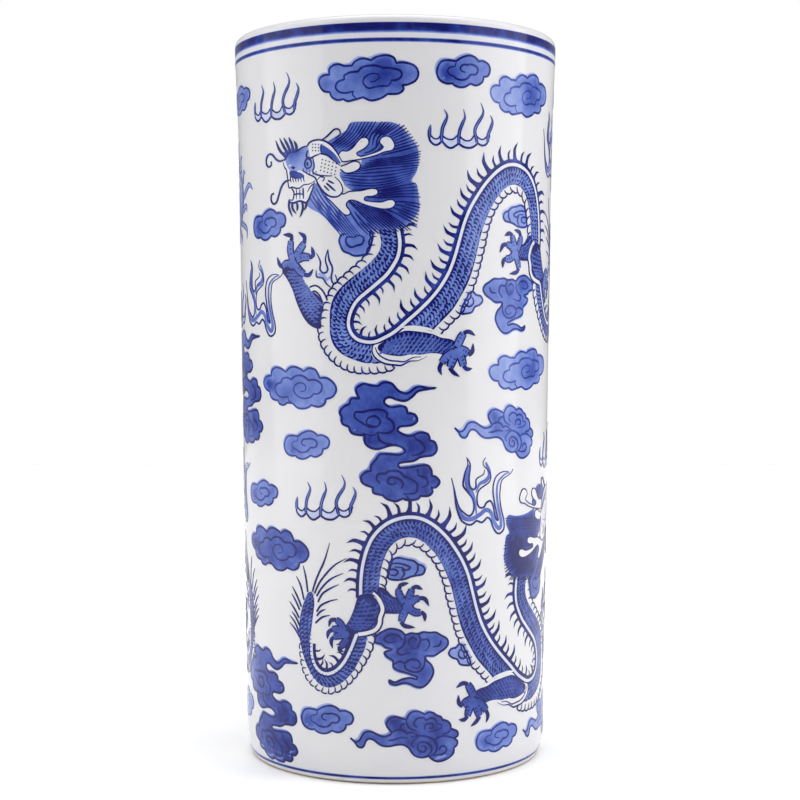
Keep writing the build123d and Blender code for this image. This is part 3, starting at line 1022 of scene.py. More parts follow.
tailHairs = [
    [(143, 328), (140, 336), (134, 348), (130.5, 358.5)],
    [(141.5, 327), (137, 335), (128, 344.5), (119.5, 349.5)],
    [(140, 325.5), (136, 331), (130, 336.5), (121.5, 340.5)],
    [(139, 322), (136, 327), (131, 330.5), (124.5, 333.5)],
    [(140, 316), (137, 320), (131, 323), (125.5, 324.5)],
    [(140, 313.5), (137, 316.5), (133.5, 318)],
    [(141, 309), (136, 313), (130.5, 314.5)],
    [(146.5, 327.5), (148, 337), (150, 343.5)],
    [(149.5, 322.5), (152, 331), (155.5, 336.5)],
    [(151.5, 318), (155, 324.5), (159, 330)],
    [(153, 316), (156, 321), (159.5, 325.5)],
    [(153.5, 311), (157, 316), (161.5, 320.5)],
    [(153, 306), (156, 311), (159.5, 314.5)],
    [(153.5, 302), (157, 308), (161.5, 312)],
    [(153, 299), (157, 304), (161.5, 307.5)],
]


def paintTailHair(sheet):
    for hair in tailHairs:
        brushLine(sheet, hair, 1.3, 0.9, 3, (0.9, 0.25))


def paintFinger(sheet, points, claw, width):
    outlined(sheet, points, width, 0.5, 8, (1, 0.8), 0.9)
    (x0, y0), (x1, y1) = points[0], points[-1]
    length = math.dist(points[0], points[-1])
    nx, ny = -(y1 - y0) / length, (x1 - x0) / length
    # folds across the toe
    for part in (0.35, 0.6, 0.85):
        [(x, y)] = between(points[:1], points[-1:], part)
        brushLine(sheet, [(x, y), (x + nx * width / 2, y + ny * width / 2)], 0.8, 0.9, 10)
    brushLine(sheet, [points[-1], *claw], 2.6, 0.92, 9, (1, 0.08))


def paintLeg(sheet, outline, scales, level=5):
    # scales: the guide line on each side, the sizes along them, columns, rows
    fillShape(sheet, outline, 0.98, level, edge=0.98)
    addRows(sheet, oneScale(0.54, level + 1), *scales, 0.2, 0.0, 0.2, 9)


def paintPalm(sheet, x, y, size):
    # a dark rim under the toes, and the pad over them
    angles = [round(math.pi / 4 * i, 2) for i in range(8)]
    for radius, pigment, level in ((size + 0.9, 0.95, 7), (size - 0.2, 0.5, 11)):
        ring = [(x + radius * math.cos(a), y + 0.85 * radius * math.sin(a)) for a in angles]
        fillShape(sheet, ring, pigment, level, pitch=2.2)


# the place and size of each palm, then each finger's bones and its claw
dragonPaws = {
    "left fore foot": ((-66.5, 314, 3.6), [
        ([(-66, 316), (-68, 322), (-67.5, 328)], [(-67, 331), (-74, 332)]),
        ([(-64, 318), (-60, 323), (-57.5, 326)], [(-57, 330), (-61.5, 333)]),
        ([(-63, 316.5), (-58, 318), (-53.5, 317.5)], [(-50.8, 319), (-52, 324)]),
        ([(-64, 313), (-60.5, 309.5), (-57.5, 307.5)], [(-54, 307), (-51, 310.5)]),
        ([(-68, 314), (-72, 314), (-74.5, 312.5)], [(-77.5, 314), (-79.5, 318.5)]),
    ]),
    "right fore foot": ((38.8, 260.4, 3.8), [
        ([(38, 264), (40.5, 269), (42.5, 272)], [(46, 273), (50.5, 270.5)]),
        ([(40, 262.5), (44, 261), (46, 259)], [(48.5, 261), (49, 266)]),
        ([(39.5, 260.5), (41.5, 256), (42.5, 252.5)], [(45, 250.5), (48.5, 251)]),
        ([(37, 260), (35, 255), (33.5, 251.5)], [(36, 248.5), (40, 246)]),
        ([(36, 261), (31, 257.5), (28.5, 254.5)], [(27, 251), (28.5, 247)]),
    ]),
    "hind foot under the arch": ((81.8, 321, 3.2), [
        ([(82, 321), (78, 325), (74.5, 326)], [(71, 325.5), (68.5, 321)]),
        ([(82, 323), (80, 329), (79, 331.5)], [(76.5, 333), (72.3, 331.2)]),
        ([(84, 323.5), (87, 329), (86.8, 331.5)], [(86, 334), (81, 335.3)]),
        ([(81, 320), (77, 317.5), (73.5, 317.5)], [(71.3, 316), (71, 311.8)]),
        ([(83, 319), (85, 314.5), (85.5, 312)], [(83.5, 309.5), (77, 308.3)]),
    ]),
    "hind foot in the loop of the tail": ((120.4, 303.6, 3), [
        ([(121, 306), (124, 310.5), (126.5, 312)], [(130, 311.5), (131.5, 307.5)]),
        ([(122, 305), (126, 306.5), (129, 306)], [(131.8, 304), (132.5, 300)]),
        ([(121, 303), (125, 302.5), (128, 301.5)], [(130, 299), (129, 294.5)]),
        ([(119, 301), (122, 297.5), (124, 295.8)], [(124.5, 294), (121.5, 293)]),
    ]),
}


def paintLegs(sheet):
    # fore leg on the left, with the white fold where it leaves the body
    outlined(sheet, [(-53, 298), (-49.5, 299), (-45.5, 296), (-43, 291)], 2.2, 0.0, 4)
    paintLeg(sheet, [(-46, 275), (-52, 276), (-57, 280), (-61, 286), (-64, 292), (-67, 299), (-71, 305),
        (-75, 309.5), (-74, 313), (-67, 315), (-62, 312), (-60, 306), (-57, 302), (-52, 297.5),
        (-47, 294), (-44.5, 289), (-46, 282)], ([(-50, 277), (-58, 284), (-64, 296), (-72, 309)],
        [(-46, 290), (-52, 296.5), (-58, 303), (-64, 312)], (1, 0.95, 0.8), 15, 5))
    # fore leg on the right, with its frilled white edge
    fillShape(sheet, [(-13, 264.5), (-14, 260.5), (-12, 256.5), (-6, 253.5), (0, 253), (5, 252.5),
        (9, 255), (14, 255.5), (20, 258), (30, 257), (38, 262), (34, 269), (24, 272.5), (12, 275.5),
        (6, 275), (1, 271), (-6, 267)], 0.0, 4)
    frill = [(-12.6, 266), (-13.6, 261.5), (-11.5, 257.2), (-6, 254), (0, 253.2), (4, 253), (9, 255.4),
        (14, 255.8), (19.5, 258.4)]
    brushLine(sheet, frill, 1.15, 0.95, 5)
    brushLine(sheet, [(x + 1.9, y + 2.2) for x, y in frill[1:-1]], 1.0, 0.92, 5, (0.5, 0.4))
    paintLeg(sheet, [(-9.6, 265.2), (-10, 262.4), (-7, 260), (-2, 258.8), (4, 258.4), (10, 259.6),
        (15, 259.2), (20, 260), (26, 260), (31, 258.5), (36, 258), (39, 262), (38, 266), (34, 268.5),
        (28, 269.5), (22, 271.8), (12, 273.3), (5, 273.3), (-1, 270), (-6, 267)], ([(-5, 267), (8, 272),
        (24, 269.8), (36, 266)], [(-8.5, 261), (8, 260), (24, 261), (36, 259.5)], (1, 1, 0.8), 16, 5))
    brushLine(sheet, [(4.5, 275.5), (12, 275.8), (22, 274), (28, 270.5)], 1.5, 0.0, 5)
    # thigh and the hind leg that shows under the arch
    paintLeg(sheet, [(100, 332), (95, 331.5), (91, 327.5), (86, 325.5), (83, 322), (85, 317.5),
        (92, 316.8), (99, 318.5)], ([(98, 330), (92, 326), (85, 323)], [(98, 319), (91, 318), (85, 319)],
        (0.8, 0.75, 0.7), 6, 4))
    outlined(sheet, [(103, 329), (99, 325), (97, 319.5), (98.5, 314.5), (99, 310.5), (101.5, 307),
        (106.5, 305), (112, 304)], 2.2, 0.0, 6)
    paintLeg(sheet, [(102, 328), (107, 328.5), (112, 327), (114.5, 320), (117.5, 313), (121, 307),
        (119, 302), (113, 304.5), (105, 307.5), (101, 311), (100.5, 316), (99, 321)], ([(111, 325),
        (114, 318), (119, 308)], [(100.5, 321), (103, 311), (113, 306)], (1, 1, 0.8), 7, 5), 7)
    for (x, y, size), fingers in dragonPaws.values():
        for bones, claw in fingers:
            paintFinger(sheet, bones, claw, 1.05 * size)
        paintPalm(sheet, x, y, size)


# hair of the mane, in locks; each lies between two guide lines and is combed along them:
# first guide, last guide, number of hairs, pigment
maneLocks = [
    ([(-40, 384), (-34, 387.5), (-29.5, 391.5), (-26.5, 396.5)], [(-27, 379), (-21, 383), (-15, 389),
     (-10, 397)], 8, 0.9),
    ([(-15.5, 384), (-14.5, 389), (-11, 393), (-8.5, 397)], [(-9.5, 381), (-8, 387), (-2, 391), (4, 395)],
     6, 0.94),
    ([(-22, 376), (-15, 376.3), (-10, 378.5), (-6, 381.5)], [(-17, 379), (-14, 380.5), (-11, 383),
     (-10, 387)], 2, 0.94),
    ([(-3, 389.5), (0, 391.5), (2.5, 393.5), (5, 395.5)], [(-8, 376.5), (0, 378), (8, 380), (15, 382)], 8,
     0.95),
    ([(-14, 374.5), (-5, 375.8), (5, 376.8), (15.5, 380.5)], [(-26, 367.5), (-12, 370), (0, 371),
     (14.6, 372)], 5, 0.97),
    ([(-26, 367.5), (-12, 370), (0, 371), (14.6, 372)], [(-33, 364.5), (-18, 361.5), (-4, 362.5),
     (11.5, 366.5)], 4, 0.97),
    ([(-33, 364.5), (-18, 361.5), (-4, 362.5), (11.5, 366.5)], [(-24, 355.8), (-12, 356.8), (0, 359),
     (9.5, 363)], 3, 0.97),
    ([(-10, 356.5), (-2, 358.3), (4, 359.8), (12, 361.8)], [(-16, 352), (-6, 351.5), (3, 352),
     (15.5, 351.5)], 5, 0.97),
    ([(0, 350), (5, 350.2), (10, 350), (15.5, 349.3)], [(-8, 346), (-1, 343), (6, 339), (13, 335)], 7,
     0.97),
    ([(-8, 345.8), (-2, 342), (4, 338), (10.5, 333)], [(-29, 352), (-22, 346), (-14, 338), (-6, 331)], 9,
     0.96),
    ([(-29, 352), (-22, 346), (-14, 338), (-6, 331)], [(-30, 349), (-26, 342), (-22, 336), (-17, 330.5)],
     5, 0.92),
    ([(-30, 343.5), (-27, 339), (-23, 334), (-19, 329.5)], [(-52, 354), (-46, 345), (-40, 338),
     (-33, 330)], 8, 0.76),
    ([(-46, 361), (-42, 354), (-36, 347), (-31, 342)], [(-54, 353), (-48, 345.5), (-41, 339),
     (-34, 331.5)], 5, 0.72),
]
maneShape = [(13.5, 381), (14, 374), (13, 368), (10, 362), (13, 360), (14, 353), (14.5, 346), (12, 341),
    (8, 337), (4, 334), (-4, 333.5), (-14, 333), (-20, 331.5), (-31, 331.5), (-38, 337.5), (-46, 343.5),
    (-54, 348), (-56, 354), (-50, 361), (-44, 361), (-38, 353), (-31, 352.5), (-24, 350), (-24, 355),
    (-30, 360), (-33.5, 366), (-30, 369), (-21, 371), (-20, 375.5), (-26, 379), (-34, 377)]
maneTop = [(-42, 384), (-35, 389), (-29, 392), (-26, 396.5), (-18, 397), (-10, 396.5), (-2, 396.5),
    (4, 393.5), (8, 389), (11, 385)]
# a shorter mane, that leaves the antlers standing clear against the white
shortTop = [(-42, 384), (-37, 387.5), (-31, 389.5), (-24, 389), (-18, 384), (-16, 378), (-20, 375.5),
    (-8, 372.5), (3, 372), (11, 373)]
shortLock = ([(-40, 384), (-36, 386), (-32, 388), (-29, 390)], [(-27, 377), (-23, 378), (-19, 380),
    (-16, 381)], 6, 0.92)
antlers = [
    [(-34, 376), (-31, 373.8), (-26, 374.2), (-18, 375.3), (-11, 377), (-6, 379), (-1.5, 380), (0, 383),
     (-2, 387), (-5, 388.3), (-8, 387), (-8.8, 384.3), (-6.6, 382), (-9, 379.8), (-14, 378), (-20, 376.6),
     (-22.5, 378.5), (-18, 381), (-15.2, 384), (-15.8, 387), (-19, 387.6), (-22, 385.2), (-24.5, 382),
     (-28, 380), (-32, 380)],
    [(-34, 370.5), (-29, 372), (-24, 373.8), (-20.6, 372.6), (-20.6, 369.8), (-24, 367.6), (-29, 367),
     (-32, 369)],
    [(-42, 354), (-37, 355.6), (-31, 354.6), (-27, 356), (-20, 356.4), (-14, 357.6), (-10.4, 357),
     (-10, 354.4), (-13, 353), (-17, 352.8), (-18, 351), (-14.5, 350), (-8, 349.6), (-4, 350.8),
     (-1, 350.8), (0.4, 348.6), (-1.4, 346.2), (-6, 345.4), (-12, 346.4), (-18, 348.2), (-23, 350.4),
     (-27, 350.8), (-29, 348), (-26.6, 344.6), (-27, 342.4), (-30, 342.4), (-34, 346), (-38, 350)],
]


# darker and paler places in the wash: across, up, radius, more pigment
manePools = [(2, 368, 15, 0.14), (-20, 362, 10, 0.12), (4, 348, 12, 0.16), (-14, 342, 10, 0.08),
             (-42, 346, 16, -0.3)]


def paintMane(sheet, short=False):
    outline = shortTop + maneShape[2:] if short else maneTop + maneShape
    locks = [shortLock] + maneLocks[5:] if short else maneLocks
    fillShape(sheet, outline, 0.56, 4, edge=0.42, pools=manePools)
    for first, last, count, pigment in locks:
        wide, narrow = math.dist(first[-1], last[-1]) / count, math.dist(first[0], last[0]) / count
        for i in range(count):
            t = (i + 0.5) / count
            hair = smoothPath(between(first, last, t), False, 2.4)
            # where the roots crowd together, some of the hairs start further along
            crowded = max(0.0, min(0.75, (1.6 - narrow) / max(wide - narrow, 0.2)))
            start = (0, 1, 0.5, 1)[i % 4 if narrow < 0.8 else i % 2] * crowded
            brushLine(sheet, hair[round(start * (len(hair) - 1)):], min(1.15, 0.52 * wide), pigment, 6,
                      (0.5, 0.5), step=2.4)
    for outline in antlers:
        fillShape(sheet, outline, 0.0, 7)
        brushLine(sheet, outline, 0.8, 0.95, 8, closed=True)


# the drawn lines of the head, each with its width in mm
headLines = [
    ([(-72, 376.5), (-70.5, 378.5), (-67.5, 381), (-62, 381.6), (-57.5, 383.6), (-54, 384)], 1.4),
    ([(-73, 375.5), (-72, 372.5), (-70.5, 371), (-69.5, 366), (-68.5, 360), (-66, 360.3), (-63, 359.4),
     (-60, 359.4), (-57, 361.2), (-53, 361.4), (-49, 363.2)], 1.0),
    ([(-54.5, 383.5), (-53, 386), (-49, 387.2), (-44, 387), (-39, 384.5), (-35, 380), (-31.5, 374)], 1.1),
    ([(-54, 381.5), (-55, 378), (-52, 376.8), (-49, 378), (-46, 378.8)], 1.4),
    ([(-45, 386.8), (-41, 389), (-36, 393), (-33, 392.6), (-32.5, 390), (-35.5, 387.5)], 1.0),
    ([(-46, 379.2), (-41, 378), (-36, 374.2), (-32.5, 371.5)], 1.0),
    ([(-50.5, 377), (-49.5, 372), (-50.5, 368.5), (-47, 366.5), (-42, 365.8), (-37.5, 365.6)], 1.1),
    ([(-58, 370), (-54, 367.5), (-49, 365), (-46.5, 360), (-42.5, 355.5), (-38, 353.2), (-33.5, 353.6),
     (-31, 357), (-32.5, 361.5), (-36, 365)], 1.1),
    ([(-44, 362.5), (-42.6, 364.6), (-45.6, 365.4), (-47.4, 363.6)], 0.9),
    ([(-41.5, 361.5), (-38, 358.5), (-35.5, 356.5)], 1.3),
    ([(-43, 360), (-39.5, 356.8)], 1.1),
    ([(-40.5, 363), (-36.5, 361)], 1.2),
    ([(-66.5, 359.6), (-64.5, 357), (-65.5, 352.5), (-68.5, 353)], 1.1),
    ([(-69, 352.6), (-66, 350.6), (-60, 351.6), (-55, 350.6), (-52, 356), (-50, 360)], 1.3),
    ([(-65, 355.6), (-61, 356), (-57, 355.4)], 1.0),
    ([(-62.5, 358.6), (-62.7, 352.8)], 0.8),
    ([(-60, 358.6), (-60, 352.8)], 0.8),
    ([(-57.6, 359.4), (-57.4, 352.8)], 1.2),
    ([(-49.5, 361.8), (-52.5, 359.6), (-54.5, 356.6)], 0.8),
]
beardHairs = [
    [(-68.5, 352), (-68.8, 348), (-66, 342.4)],
    [(-66, 351.5), (-66, 347.5), (-63, 344)],
    [(-58.5, 351.5), (-58, 347), (-60.3, 341.8)],
    [(-62.5, 351), (-62, 348), (-62.6, 345.6)],
    [(-55.5, 351), (-55.5, 348.5), (-57, 346)],
]
crestHairs = [
    [(-71, 379), (-76, 383), (-79.5, 389.3)],
    [(-69, 380.5), (-72.5, 385), (-76, 390.3)],
    [(-67, 381.5), (-69.5, 386), (-72.5, 390.3)],
    [(-64.5, 381.5), (-66, 386), (-68.3, 390.3)],
    [(-62, 381.5), (-62.6, 385), (-64.2, 388)],
]


def paintHead(sheet):
    head = [(-69, 378), (-67, 381), (-61, 381.5), (-57, 384), (-53, 384), (-50, 386.5), (-45, 386.8),
        (-40, 385), (-35, 380), (-32, 374), (-33, 366), (-30, 360), (-31.5, 355), (-37, 353), (-43, 357),
        (-47, 362), (-50, 362), (-52, 356), (-55, 350.5), (-62, 350.3), (-68.5, 352), (-65, 357),
        (-68.5, 360), (-69, 365), (-71.5, 371), (-72.5, 376)]
    fillShape(sheet, head, 0.03, 9)
    # snout and brow wash
    fillShape(sheet, [(-69.5, 378.5), (-67, 381), (-61, 381.5), (-57, 383.6), (-53.5, 383), (-52.5, 378),
        (-50, 374), (-50.5, 369), (-56, 368.5), (-60, 370), (-66, 369), (-69, 372), (-71, 376)], 0.31, 10,
        pools=[(-66, 380, 4, 0.4), (-60, 382, 4, 0.25), (-55, 372, 3, 0.12)])
    fillShape(sheet, [(-45, 384.5), (-40, 382), (-35, 377.5), (-32, 372.5), (-34, 373), (-38, 376.5),
        (-45, 379.5)], 0.6, 10)
    for line, width in headLines:
        brushLine(sheet, line, width, 0.95, 11, (0.7, 0.5))
    # moustache under the nose, beard and forehead crest
    fillShape(sheet, [(-68, 369.5), (-64.5, 370.2), (-61, 369), (-57.5, 367.6), (-58, 365.4), (-63, 365),
        (-67, 366.4)], 0.8, 11)
    for x in range(-67, -56, 2):
        brushLine(sheet, [(x, 367), (x - 0.3, 365), (x + 0.5, 362.8)], 1.0, 0.9, 11, (0.8, 0.2))
    for hair in beardHairs:
        brushLine(sheet, hair, 1.5, 0.92, 11, (1, 0.15))
    fillShape(sheet, [(-72, 378), (-73.5, 380.5), (-72, 382), (-68, 383), (-64.5, 383.4), (-61.5, 382.6),
        (-61, 381.4), (-65, 380.5), (-69, 379)], 0.6, 10)
    for hair in crestHairs:
        brushLine(sheet, hair, 1.8, 0.9, 11, (0.9, 0.12))
    # whiskers
    brushLine(sheet, [(-70, 377.5), (-73, 377), (-76, 376.5), (-79.5, 378), (-83, 381), (-86.5, 381.4),
        (-89, 379), (-89, 375.6), (-86.5, 373.8), (-84, 375), (-84.6, 377)], 1.3, 0.93, 11, (0.6, 0.9))
    brushLine(sheet, [(-67.5, 364.6), (-71.5, 364), (-75, 361), (-77.5, 356), (-79.5, 352), (-82.5, 351),
        (-84.8, 353.5), (-84.3, 356.6), (-82, 357.4)], 1.3, 0.93, 11, (0.6, 0.9))
    # eye, nostril and the stippled cheek and forehead
    brushLine(sheet, [(-56.2, 374), (-54.6, 376.6), (-52, 375.6), (-51.6, 372.4), (-53.6, 370.8),
        (-55.8, 371.8)], 1.2, 0.95, 11, closed=True)
    fillShape(sheet, [(-54.9, 374.6), (-53.7, 374.6), (-53.7, 372.2), (-54.9, 372.2)], 0.98, 12, pitch=1.5)
    fillShape(sheet, [(-66.6, 372.3), (-64.8, 372.8), (-63, 371.8), (-64.8, 370.7)], 0.98, 12, pitch=1.5)
    dots = [(-44 + 2.3 * i - 0.4 * j, 375.5 - 2.1 * j - 0.7 * i) for i in range(5) for j in range(4)]
    dots += [(-57 + 2.2 * i, 370.6 - 0.55 * i - 1.6 * j) for i in range(5) for j in range(2)]
    dots += [(-50.5 + 2 * i, 385 - 1.9 * j - 0.2 * i) for i in range(4) for j in range(3)]
    for x, y in dots:
        brushLine(sheet, [(x - 0.4, y), (x + 0.4, y)], 0.8, 0.92, 12, (1, 1), step=0.8)


# clouds behind the dragon: outline, curls, strength of the wash, pools, line and spill
dragonClouds = [
    ([(71, 343), (72.5, 345.5), (75.5, 346.5), (78, 348.5), (83, 349.6), (87, 350.5), (90.5, 349.5),
     (92, 346), (93, 342), (93.6, 338.4), (90, 337.2), (84, 337.5), (80, 339), (76, 339.8),
     (72.5, 340.4)], [[(75.5, 346.4), (75.6, 342.6), (77.8, 339.8)], [(91.4, 347), (86, 347), (80, 344.6),
     (83, 343), (85, 344.6), (89.6, 345)], [(85.4, 343.8), (83.6, 341), (86, 337.6)], [(93, 343.4),
     (89, 343.4), (87.6, 341.6), (89.6, 339.8), (92.6, 340.4)]], 0.38),
    ([(56, 298), (57, 301), (60.5, 303), (64, 305), (68, 305), (72, 305.5), (75.4, 304.6), (80, 305),
     (83, 304), (86, 306.6), (92, 307.8), (97, 306), (101, 303), (101.5, 299.5), (97.5, 298.5),
     (95.5, 296.6), (91, 295.4), (96, 293.4), (94, 290.6), (90.6, 288.4), (90.5, 284.6), (87, 282.4),
     (82, 281), (75.5, 278.4), (76, 277), (80, 278), (85, 277.2), (89.4, 275.4), (93, 276.8), (92.6, 275),
     (89, 273.8), (85, 274.8), (81, 274.6), (76, 272.4), (72, 272.4), (68.5, 275), (66, 279), (65.5, 282),
     (67, 285.6), (70, 288.5), (70.4, 291), (65, 291), (61.5, 293), (58, 295)], [[(75, 304.6),
     (73.4, 301), (69.4, 301), (68, 297.4), (71, 294)], [(73.4, 301), (76, 296), (80, 296.4)],
     [(60.6, 300), (62, 297), (66, 296.4)], [(83, 304), (84, 298), (88, 294.6), (86, 292), (80, 293.4)],
     [(76, 300.6), (78, 302.4), (81, 300.6), (80, 297.4), (77.4, 297.4)], [(85, 301), (88, 304),
     (93, 304), (96, 301.4), (93, 299.4), (88.6, 300.2)], [(71, 291), (71.6, 284.6), (76, 281.4),
     (82, 283), (83.4, 286.6), (80, 289), (75.6, 288.6), (73.6, 285.6), (76, 283.6), (79, 285)],
     [(83.4, 287), (87, 288), (90.4, 286)]], 0.46, [(92, 302, 8, 0.14), (78, 284, 8, 0.08),
     (78, 298, 5, 0.2)], (1.3, 0.8), (0.6, -1.2)),
    ([(-33.5, 327), (-32, 330.5), (-28, 331.5), (-24, 332.5), (-17, 333), (-13, 331), (-14, 325),
     (-16, 320), (-19, 318.4), (-24, 318), (-27.5, 319.5), (-31, 321), (-32.5, 324)], [[(-25, 329),
     (-28.8, 329), (-29, 325.4), (-26, 323), (-23, 324), (-19.4, 325), (-18.4, 328.4), (-21.4, 330),
     (-24.8, 328.6)]], 0.46, (), (1.3, 0.85), (0.6, -0.8)),
    ([(40.5, 284), (42, 289), (44.5, 293), (46, 296), (48.5, 297), (51, 295), (54, 294.5), (55.5, 291.5),
     (53, 289), (50, 288), (48, 284.8), (44, 283.8)], [[(43.5, 293), (43, 290), (46, 288), (49, 290),
     (48.5, 293), (47, 294)]], 0.3),
]
wispLines = [
    [(-48.6, 320), (-46, 315), (-46.2, 310), (-43.4, 308), (-41, 310), (-42.6, 316), (-40.8, 322)],
    [(-40.8, 322), (-40.2, 316), (-38, 311), (-38.8, 305), (-37.4, 301.6), (-35, 302.6), (-36.2, 307)],
    [(-48.8, 310), (-48.6, 306), (-44.4, 305), (-42, 301.6), (-39, 299.4)],
]


def paintDragonClouds(sheet):
    for cloud in dragonClouds:
        paintCloud(sheet, *cloud)
    for line in wispLines:
        brushLine(sheet, line, 1.2, 0.85, 3, (0.3, 0.5))
    brushLine(sheet, [(-47.6, 307.6), (-44, 306.6), (-41.6, 304), (-39.6, 306)], 1.8, 0.3, 1, (0.6, 0.6))


def drawDragon(shortMane=False):
    sheet = newSheet()
    paintDragonClouds(sheet)
    # after each pair of lines, the sizes of the marks along them
    paintBody(sheet, neckBack, neckBelly, (0.85, 1, 1))
    paintBody(sheet, archBack, archBelly, (1, 1, 0.9))
    paintBody(sheet, tailBack, tailBelly, (0.85, 0.8, 0.8))
    paintBack(sheet, neckBack + archBack[1:], (1, 0.95, 0.6, 0.75, 1, 1, 1.05, 1.1, 1, 1))
    paintBack(sheet, tailBack[:10], (0.75, 0.7, 0.7))
    paintBelly(sheet, neckUnder)
    paintBelly(sheet, archUnder)
    paintBelly(sheet, tailUnder, (1, 0.9, 0.7))
    paintTailHair(sheet)
    paintLegs(sheet)
    paintMane(sheet, shortMane)
    paintHead(sheet)
    return sheet


dragon = drawDragon()
print("dragon drawn,", len(dragon["faces"]), "faces")
paintPiece("cobalt_dragon_upper_front", dragon)
paintPiece("cobalt_dragon_upper_back", dragon, mirrorAt=-288)
# the lower pair has the shorter mane, and a stronger blue
dragon = copySheet(drawDragon(shortMane=True), strength=1.34)
paintPiece("cobalt_dragon_lower_front", dragon, mirrorAt=89.5, shift=(0, -212.5))
paintPiece("cobalt_dragon_lower_back", dragon, shift=(-268, -212.5))


# where each kind stands: across, up, width, height, strength of the blue, darker to the right, turn
cloudPlaces = {
    "smallCloud": [
        (-89, 339, 1, 1, 1.1, 0, 0), (-58, 204.8, 1, 0.93, 0.95, -0.1, 0),
        (-100, 172.7, 1.05, 0.9, 1.1, 0.1, 0), (41.5, 427.7, 1, 1.03, 1.15, -0.25, 0),
        (-44.5, 38.5, 1.07, 0.95, 1.15, 0, 0), (71.5, 24.3, 1.05, 0.92, 1.0, 0.05, 0),
        (-128, 419.5, 1.2, 0.92, 1, 0.1, 0), (-138, 35, 1.1, 1, 1, 0, 0), (-199, 339, 1, 1, 1, 0, 0),
        (292, 196, 1, 1, 1.1, 0, 0), (184, 383, 1, 1, 1, 0, 0), (-205, 207, 1, 1, 1.1, 0, 0),
        (-250, 22, 1, 1, 1, 0, 0), (-200, 424, 1, 1, 1, 0, 0), (262, 428, 1, 1, 1.1, 0, 0)],
    "wideCloud": [
        (93, 250, 1, 1, 0.9, 0.1, 0), (-15.5, 422.3, 0.94, 1.05, 1.15, 0.05, 0),
        (89, 418, 0.92, 1.05, 0.95, 0.2, 0), (247, 250, 1, 1, 1, 0, 0), (178, 425, 0.95, 1, 1.1, 0, 0),
        (-265, 424, 1, 1, 1, 0, 0)],
    "broadCloud": [
        (-65, 239.5, 1, 1, 1, 0, 0), (-86, 139.5, 1.03, 1.02, 1.4, 0.2, 0), (-223, 239.5, 1, 1, 1, 0, 0),
        (249, 90, 1, 1, 1.2, 0, 0)],
    "cloudColumn": [
        (0, 207, 1, 1, 1.1, 0, 0), (-92.5, 40.5, 1, 0.97, 1.15, 0.15, -0.06),
        (-125, 238, 1, 1, 0.95, 0.1, 0), (-296, 213, 1, 0.88, 1, 0, 0), (201, 45, 1, 0.95, 1.1, 0, 0)],
    "tailedCloud": [
        (6, 30, 1, 1, 1.3, 0.05, 0), (71, 213.4, 1, 1, 0.86, 0.02, -0.11), (131, 26, 1, 1, 1, 0, 0),
        (196, 205, 1, 1, 1, 0, -0.1), (-193, 28, 1, 1, 1.2, 0, 0), (290, 24, 1, 1, 1.1, 0, 0)],
}
for kind, places in cloudPlaces.items():
    drawing = drawCloud(kind)
    copies = [copySheet(drawing, cloudKinds[kind]["centre"], (x, y), (wide, tall), strength, lean, turn)
              for x, y, wide, tall, strength, lean, turn in places]
    paintPiece("cobalt_" + kind, mergeSheets(copies))

flamePlaces = {                # the drawing, its centre, and where it stands
    "flame_combs": (drawFlameComb, (40.5, 395.5), [
        (40.5, 395.5), (-81, 415), (-45, 173), (138, 200.5), (-144, 290), (300, 395.5)]),
    "flame_ribbons": (drawFlameRibbon, (58, 174), [
        (58, 174), (-99, 294.5), (138.5, 389), (-143.5, 176), (-189, 294.5), (252, 199), (-236.5, 174)]),
    "flaming_pearls": (drawPearl, (0, 0), [(-144, 358), (222.6, 143)]),
}
for kind, (drawFlames, centre, places) in flamePlaces.items():
    drawing = drawFlames()
    paintPiece("cobalt_" + kind, mergeSheets([copySheet(drawing, centre, place) for place in places]))


# rings painted round the jar: the rim band, the line under it and the line above the foot
ringBands = {                  # height in mm, and the pigment there: the brush leaves soft edges
    "cobalt_rim_band": [(448.2, 0.03), (449.3, 0.4), (450.4, 0.86), (452.0, 0.96), (454.2, 0.96),
                        (454.8, 0.7)],
    "cobalt_rim_line": [(443.0, 0.05), (444.1, 0.86), (445.2, 0.9), (446.0, 0.05)],
    "cobalt_foot_line": [(3.2, 0.3), (3.7, 0.9), (4.6, 0.92), (5.1, 0.3)],
}
steps = jarSizes["segments"]
for name, levels in ringBands.items():
    band = newSheet()
    rows = len(levels)
    across = spread(-math.pi * unrollRadius, math.pi * unrollRadius, steps + 1)
    points = [(x, height) for x in across for height, pigment in levels]
    pigments = [pigment for height, pigment in levels] * (steps + 1)
    faces = []
    for i in range(steps):
        for j in range(rows - 1):
            first = rows * i + j
            faces.append((first, first + rows, first + rows + 1, first + 1))
    addSlab(band, points, pigments, faces, layer(2))
    paintPiece(name, band)


studio = {
    "floorSize": 5.0,          # m
    "floor": "#fbfbfa",
    "skyBack": 0.3,            # light from behind the jar
    "skyFront": 0.13,          # light from the camera's side
    "skyTop": 3.8,             # light from overhead
    "boxPower": (7.9, 10.8),   # W, the tall softboxes on the left and the right
    "boxSize": (1.3, 1.8),     # m
    "boxPlace": (1.2, -0.3, 0.8),
    "aim": (0, 0, 0.23),       # the middle of the jar
    "lens": 74.2,              # mm
    "sensor": 36,
    "cameraPlace": (0.0031, -1.0794, 0.2668),
    "cameraDip": 2.013,        # degrees below the level
}


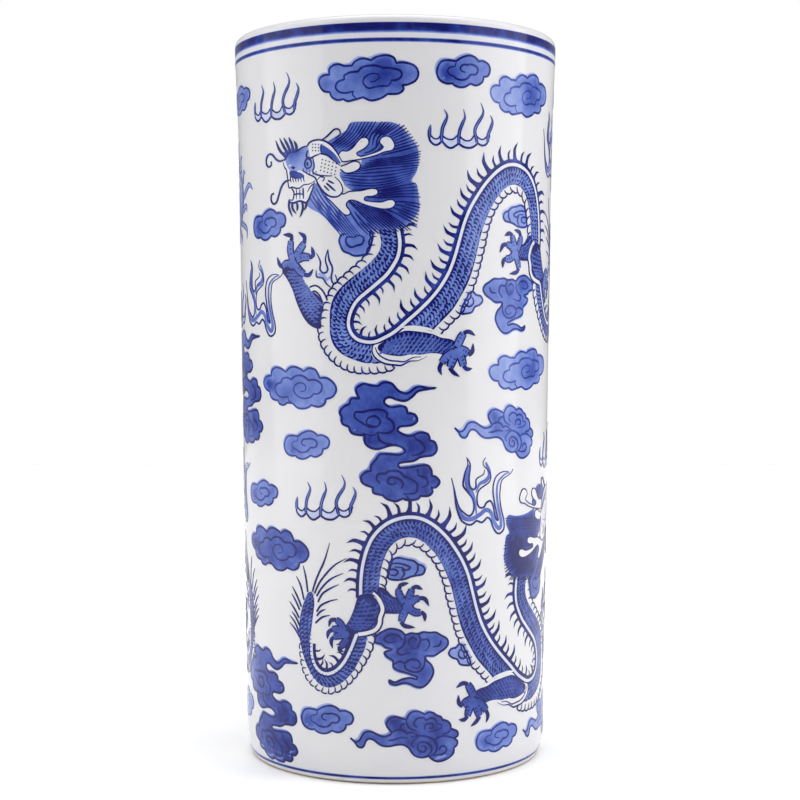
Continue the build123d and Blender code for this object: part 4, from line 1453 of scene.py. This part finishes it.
def makeStage():
    half = studio["floorSize"] / 2
    mesh = bpy.data.meshes.new("studio_floor")
    mesh.from_pydata([(-half, -half, 0), (half, -half, 0), (half, half, 0), (-half, half, 0)], [],
                     [(0, 1, 2, 3)])
    floor = newObject("studio_floor", mesh)
    material, tree = startMaterial("pale_paper_floor")
    shader = addNode(tree, "ShaderNodeBsdfPrincipled", {}, {
        "Base Color": linearColour(studio["floor"]), "Roughness": 0.9})
    addNode(tree, "ShaderNodeOutputMaterial", {}, {"Surface": shader.outputs["BSDF"]})
    mesh.materials.append(material)


# The room is white behind the jar and dimmer on the camera's side.
def makeRoomLight():
    world = bpy.data.worlds.new("studio")
    world.use_nodes = True
    tree = world.node_tree
    tree.nodes.clear()
    direction = addNode(tree, "ShaderNodeTexCoord").outputs["Generated"]
    parts = addNode(tree, "ShaderNodeSeparateXYZ", {}, {0: direction})
    around = addNode(tree, "ShaderNodeMapRange", {"interpolation_type": "SMOOTHSTEP"}, {
        "Value": parts.outputs["Y"], "From Min": -0.9, "From Max": 0.5,
        "To Min": studio["skyFront"], "To Max": studio["skyBack"]})
    level = addNode(tree, "ShaderNodeMapRange", {"interpolation_type": "SMOOTHSTEP"}, {
        "Value": parts.outputs["Z"], "From Min": 0.75, "From Max": 1.0,
        "To Min": around.outputs[0], "To Max": studio["skyTop"]})
    seen = addNode(tree, "ShaderNodeLightPath").outputs["Is Camera Ray"]
    strength = addNode(tree, "ShaderNodeMix", {}, {"Factor": seen, "A": level.outputs[0], "B": 1.0})
    sky = addNode(tree, "ShaderNodeBackground", {}, {
        "Color": (1, 1, 1, 1), "Strength": strength.outputs["Result"]})
    addNode(tree, "ShaderNodeOutputWorld", {}, {"Surface": sky.outputs[0]})
    bpy.context.scene.world = world


def makeSoftbox(side):
    light = bpy.data.lights.new("softbox", "AREA")
    light.shape = "RECTANGLE"
    light.size, light.size_y = studio["boxSize"]
    light.energy = studio["boxPower"][side > 0]
    box = newObject("softbox", light)
    x, y, z = studio["boxPlace"]
    box.location = (side * x, y, z)
    towards = Vector(studio["aim"]) - box.location
    box.rotation_euler = towards.to_track_quat("-Z", "Y").to_euler()


def makeCamera():
    camera = bpy.data.cameras.new("camera")
    camera.lens = studio["lens"]
    camera.sensor_width = studio["sensor"]
    obj = newObject("camera", camera)
    obj.location = studio["cameraPlace"]
    obj.rotation_euler = (math.radians(90 - studio["cameraDip"]), 0, 0)
    bpy.context.scene.camera = obj


makeStage()
makeRoomLight()
makeSoftbox(-1)
makeSoftbox(1)
makeCamera()
bpy.context.scene.view_settings.view_transform = "Standard"
print("studio ready")
